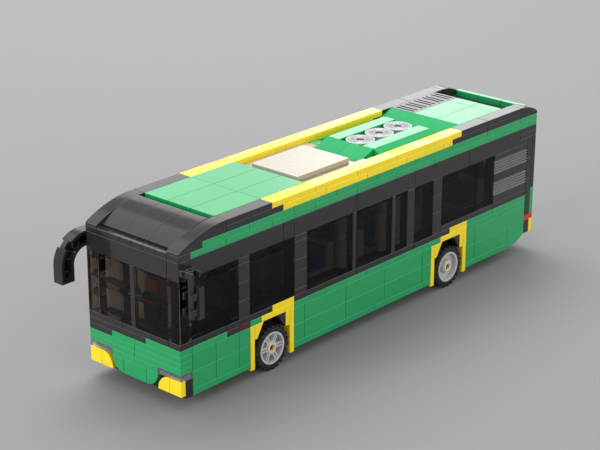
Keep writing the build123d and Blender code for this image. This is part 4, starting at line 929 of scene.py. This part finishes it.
# %% Paint shade into the pin bores
PLUG_RADIUS, PLUG_DEPTH, PLUG_MIDDLE = 1.46 * MM, 2.0 * MM, 29.4 * MM
PLUG_TURN = 20
along_axle = Matrix.Rotation(pi / 2, 4, "X")
shade_plugs = bmesh.new()
for axle, side, sign in WHEELS:
    middle = Matrix.Translation((AXLE_LINES[axle], sign * PLUG_MIDDLE, AXLE_HEIGHT))
    add_cylinder(shade_plugs, PLUG_RADIUS, PLUG_DEPTH, PLUG_TURN, middle @ along_axle)
# painted shade: black plugs in the pale bores
make_piece("pin_shade_plugs", shade_plugs, finishes["black"], "body")
print("plugs:", len(WHEELS))

# %% [markdown]
# ## Stacks behind the windows
# Inside the windows, stacks of round plates stand beside the slim posts. Nine plates make a stack,
# and only their scalloped outline shows through the smoked plastic, so each stack is one wavy profile
# spun round its own axis. Separate plates would cost more faces and look much the same.

# %% Spin the stacks
STACK_FOOT, STACK_TOP = 37.0 * MM, 65.4 * MM
STACK_PLACES = ((15.12, 3.35), (19.15, 3.35), (20.6, 3.35), (15.12, -3.35))  # studs back, studs left
STACK_ROUNDS = 9
STACK_STEPS = 6 * STACK_ROUNDS
STACK_WAIST, STACK_BULGE = 2.1 * MM, 1.05 * MM
STACK_TURN = 20
STACK_TIP = 0.0005 * MM  # radius at which the profile starts and ends, next to the axis
wavy = [(STACK_TIP, STACK_FOOT)]
for step in range(STACK_STEPS + 1):
    share = step / STACK_STEPS
    bulge = abs(sin(share * STACK_ROUNDS * pi)) ** 0.5
    wavy.append((STACK_WAIST + STACK_BULGE * bulge, STACK_FOOT + share * (STACK_TOP - STACK_FOOT)))
wavy.append((STACK_TIP, STACK_TOP))
stacks = bmesh.new()
for s, row in STACK_PLACES:
    spin_profile(stacks, wavy, (along(s), row * STUD, 0), (0, 0, 1), (1, 0, 0), STACK_TURN)
make_piece("window_stacks", stacks, finishes["light_grey"], "body")
print("stacks:", len(STACK_PLACES), "rounds each:", STACK_ROUNDS)

# %% [markdown]
# ## Tubes in the mirror arm
# The arm of the right mirror is hollow on its inner side, and three short tubes stand in the hollow,
# two of them round the bend and one in the straight end. They are spun like the collars.

# %% Spin the arm tubes
ARM_BEND = (along(0), 60.8 * MM)  # middle of the arm's bend, along and up
ARM_MIDDLE = 12 * MM  # radius of the arm's middle line
ARM_DROP = 4 * MM  # the straight end's tube lies this far under the bend
ARM_SIDE = -37.1 * MM  # where the tubes start, to the right of the middle
ARM_TUBE_TURN = 24
ARM_TUBE = in_metres(((1.7, 0.0), (2.4, 0.0), (2.4, 4.9), (1.7, 4.9), (1.7, 0.0)))
arm_places = [(ARM_MIDDLE, -ARM_DROP)]
arm_places += [(ARM_MIDDLE * cos(angle), ARM_MIDDLE * sin(angle)) for angle in (pi / 6, pi / 3)]
arm_tubes = bmesh.new()
for x, z in arm_places:
    place = (ARM_BEND[0] + x, ARM_SIDE, ARM_BEND[1] + z)
    spin_profile(arm_tubes, ARM_TUBE, place, (0, 1, 0), (1, 0, 0), ARM_TUBE_TURN)
make_piece("arm_tubes", arm_tubes, finishes["black"], "body")
print("tubes in the arm:", len(arm_places))

# %% [markdown]
# ## Painted shade in the cab
# Beside the driver stands a small brown box, and only its upper part shows through the windscreen;
# below that lies shade, painted as a plain black block with rounded edges, a little wider than the box.

# %% Paint shade over the lower ticket box
COVER_TOP = 12.3 * PLATE
COVER_EDGE = 0.8 * MM
box_low, box_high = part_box("ticket_box")
cover_high = Vector((box_high.x, box_high.y, COVER_TOP))
cover_size = cover_high - box_low + Vector((2 * COVER_EDGE, 2 * COVER_EDGE, 0))
cover = bmesh.new()
block = bmesh.ops.create_cube(cover, size=1.0)["verts"]
bmesh.ops.scale(cover, vec=cover_size, verts=block)
bmesh.ops.translate(cover, vec=(box_low + cover_high) / 2, verts=block)
round_edges(cover)
# painted shade: a black block over the lower part of the ticket box
make_piece("cab_painted_shade", cover, finishes["black"], "body")
print("cover size in mm:", [round(side / MM, 1) for side in cover_size])
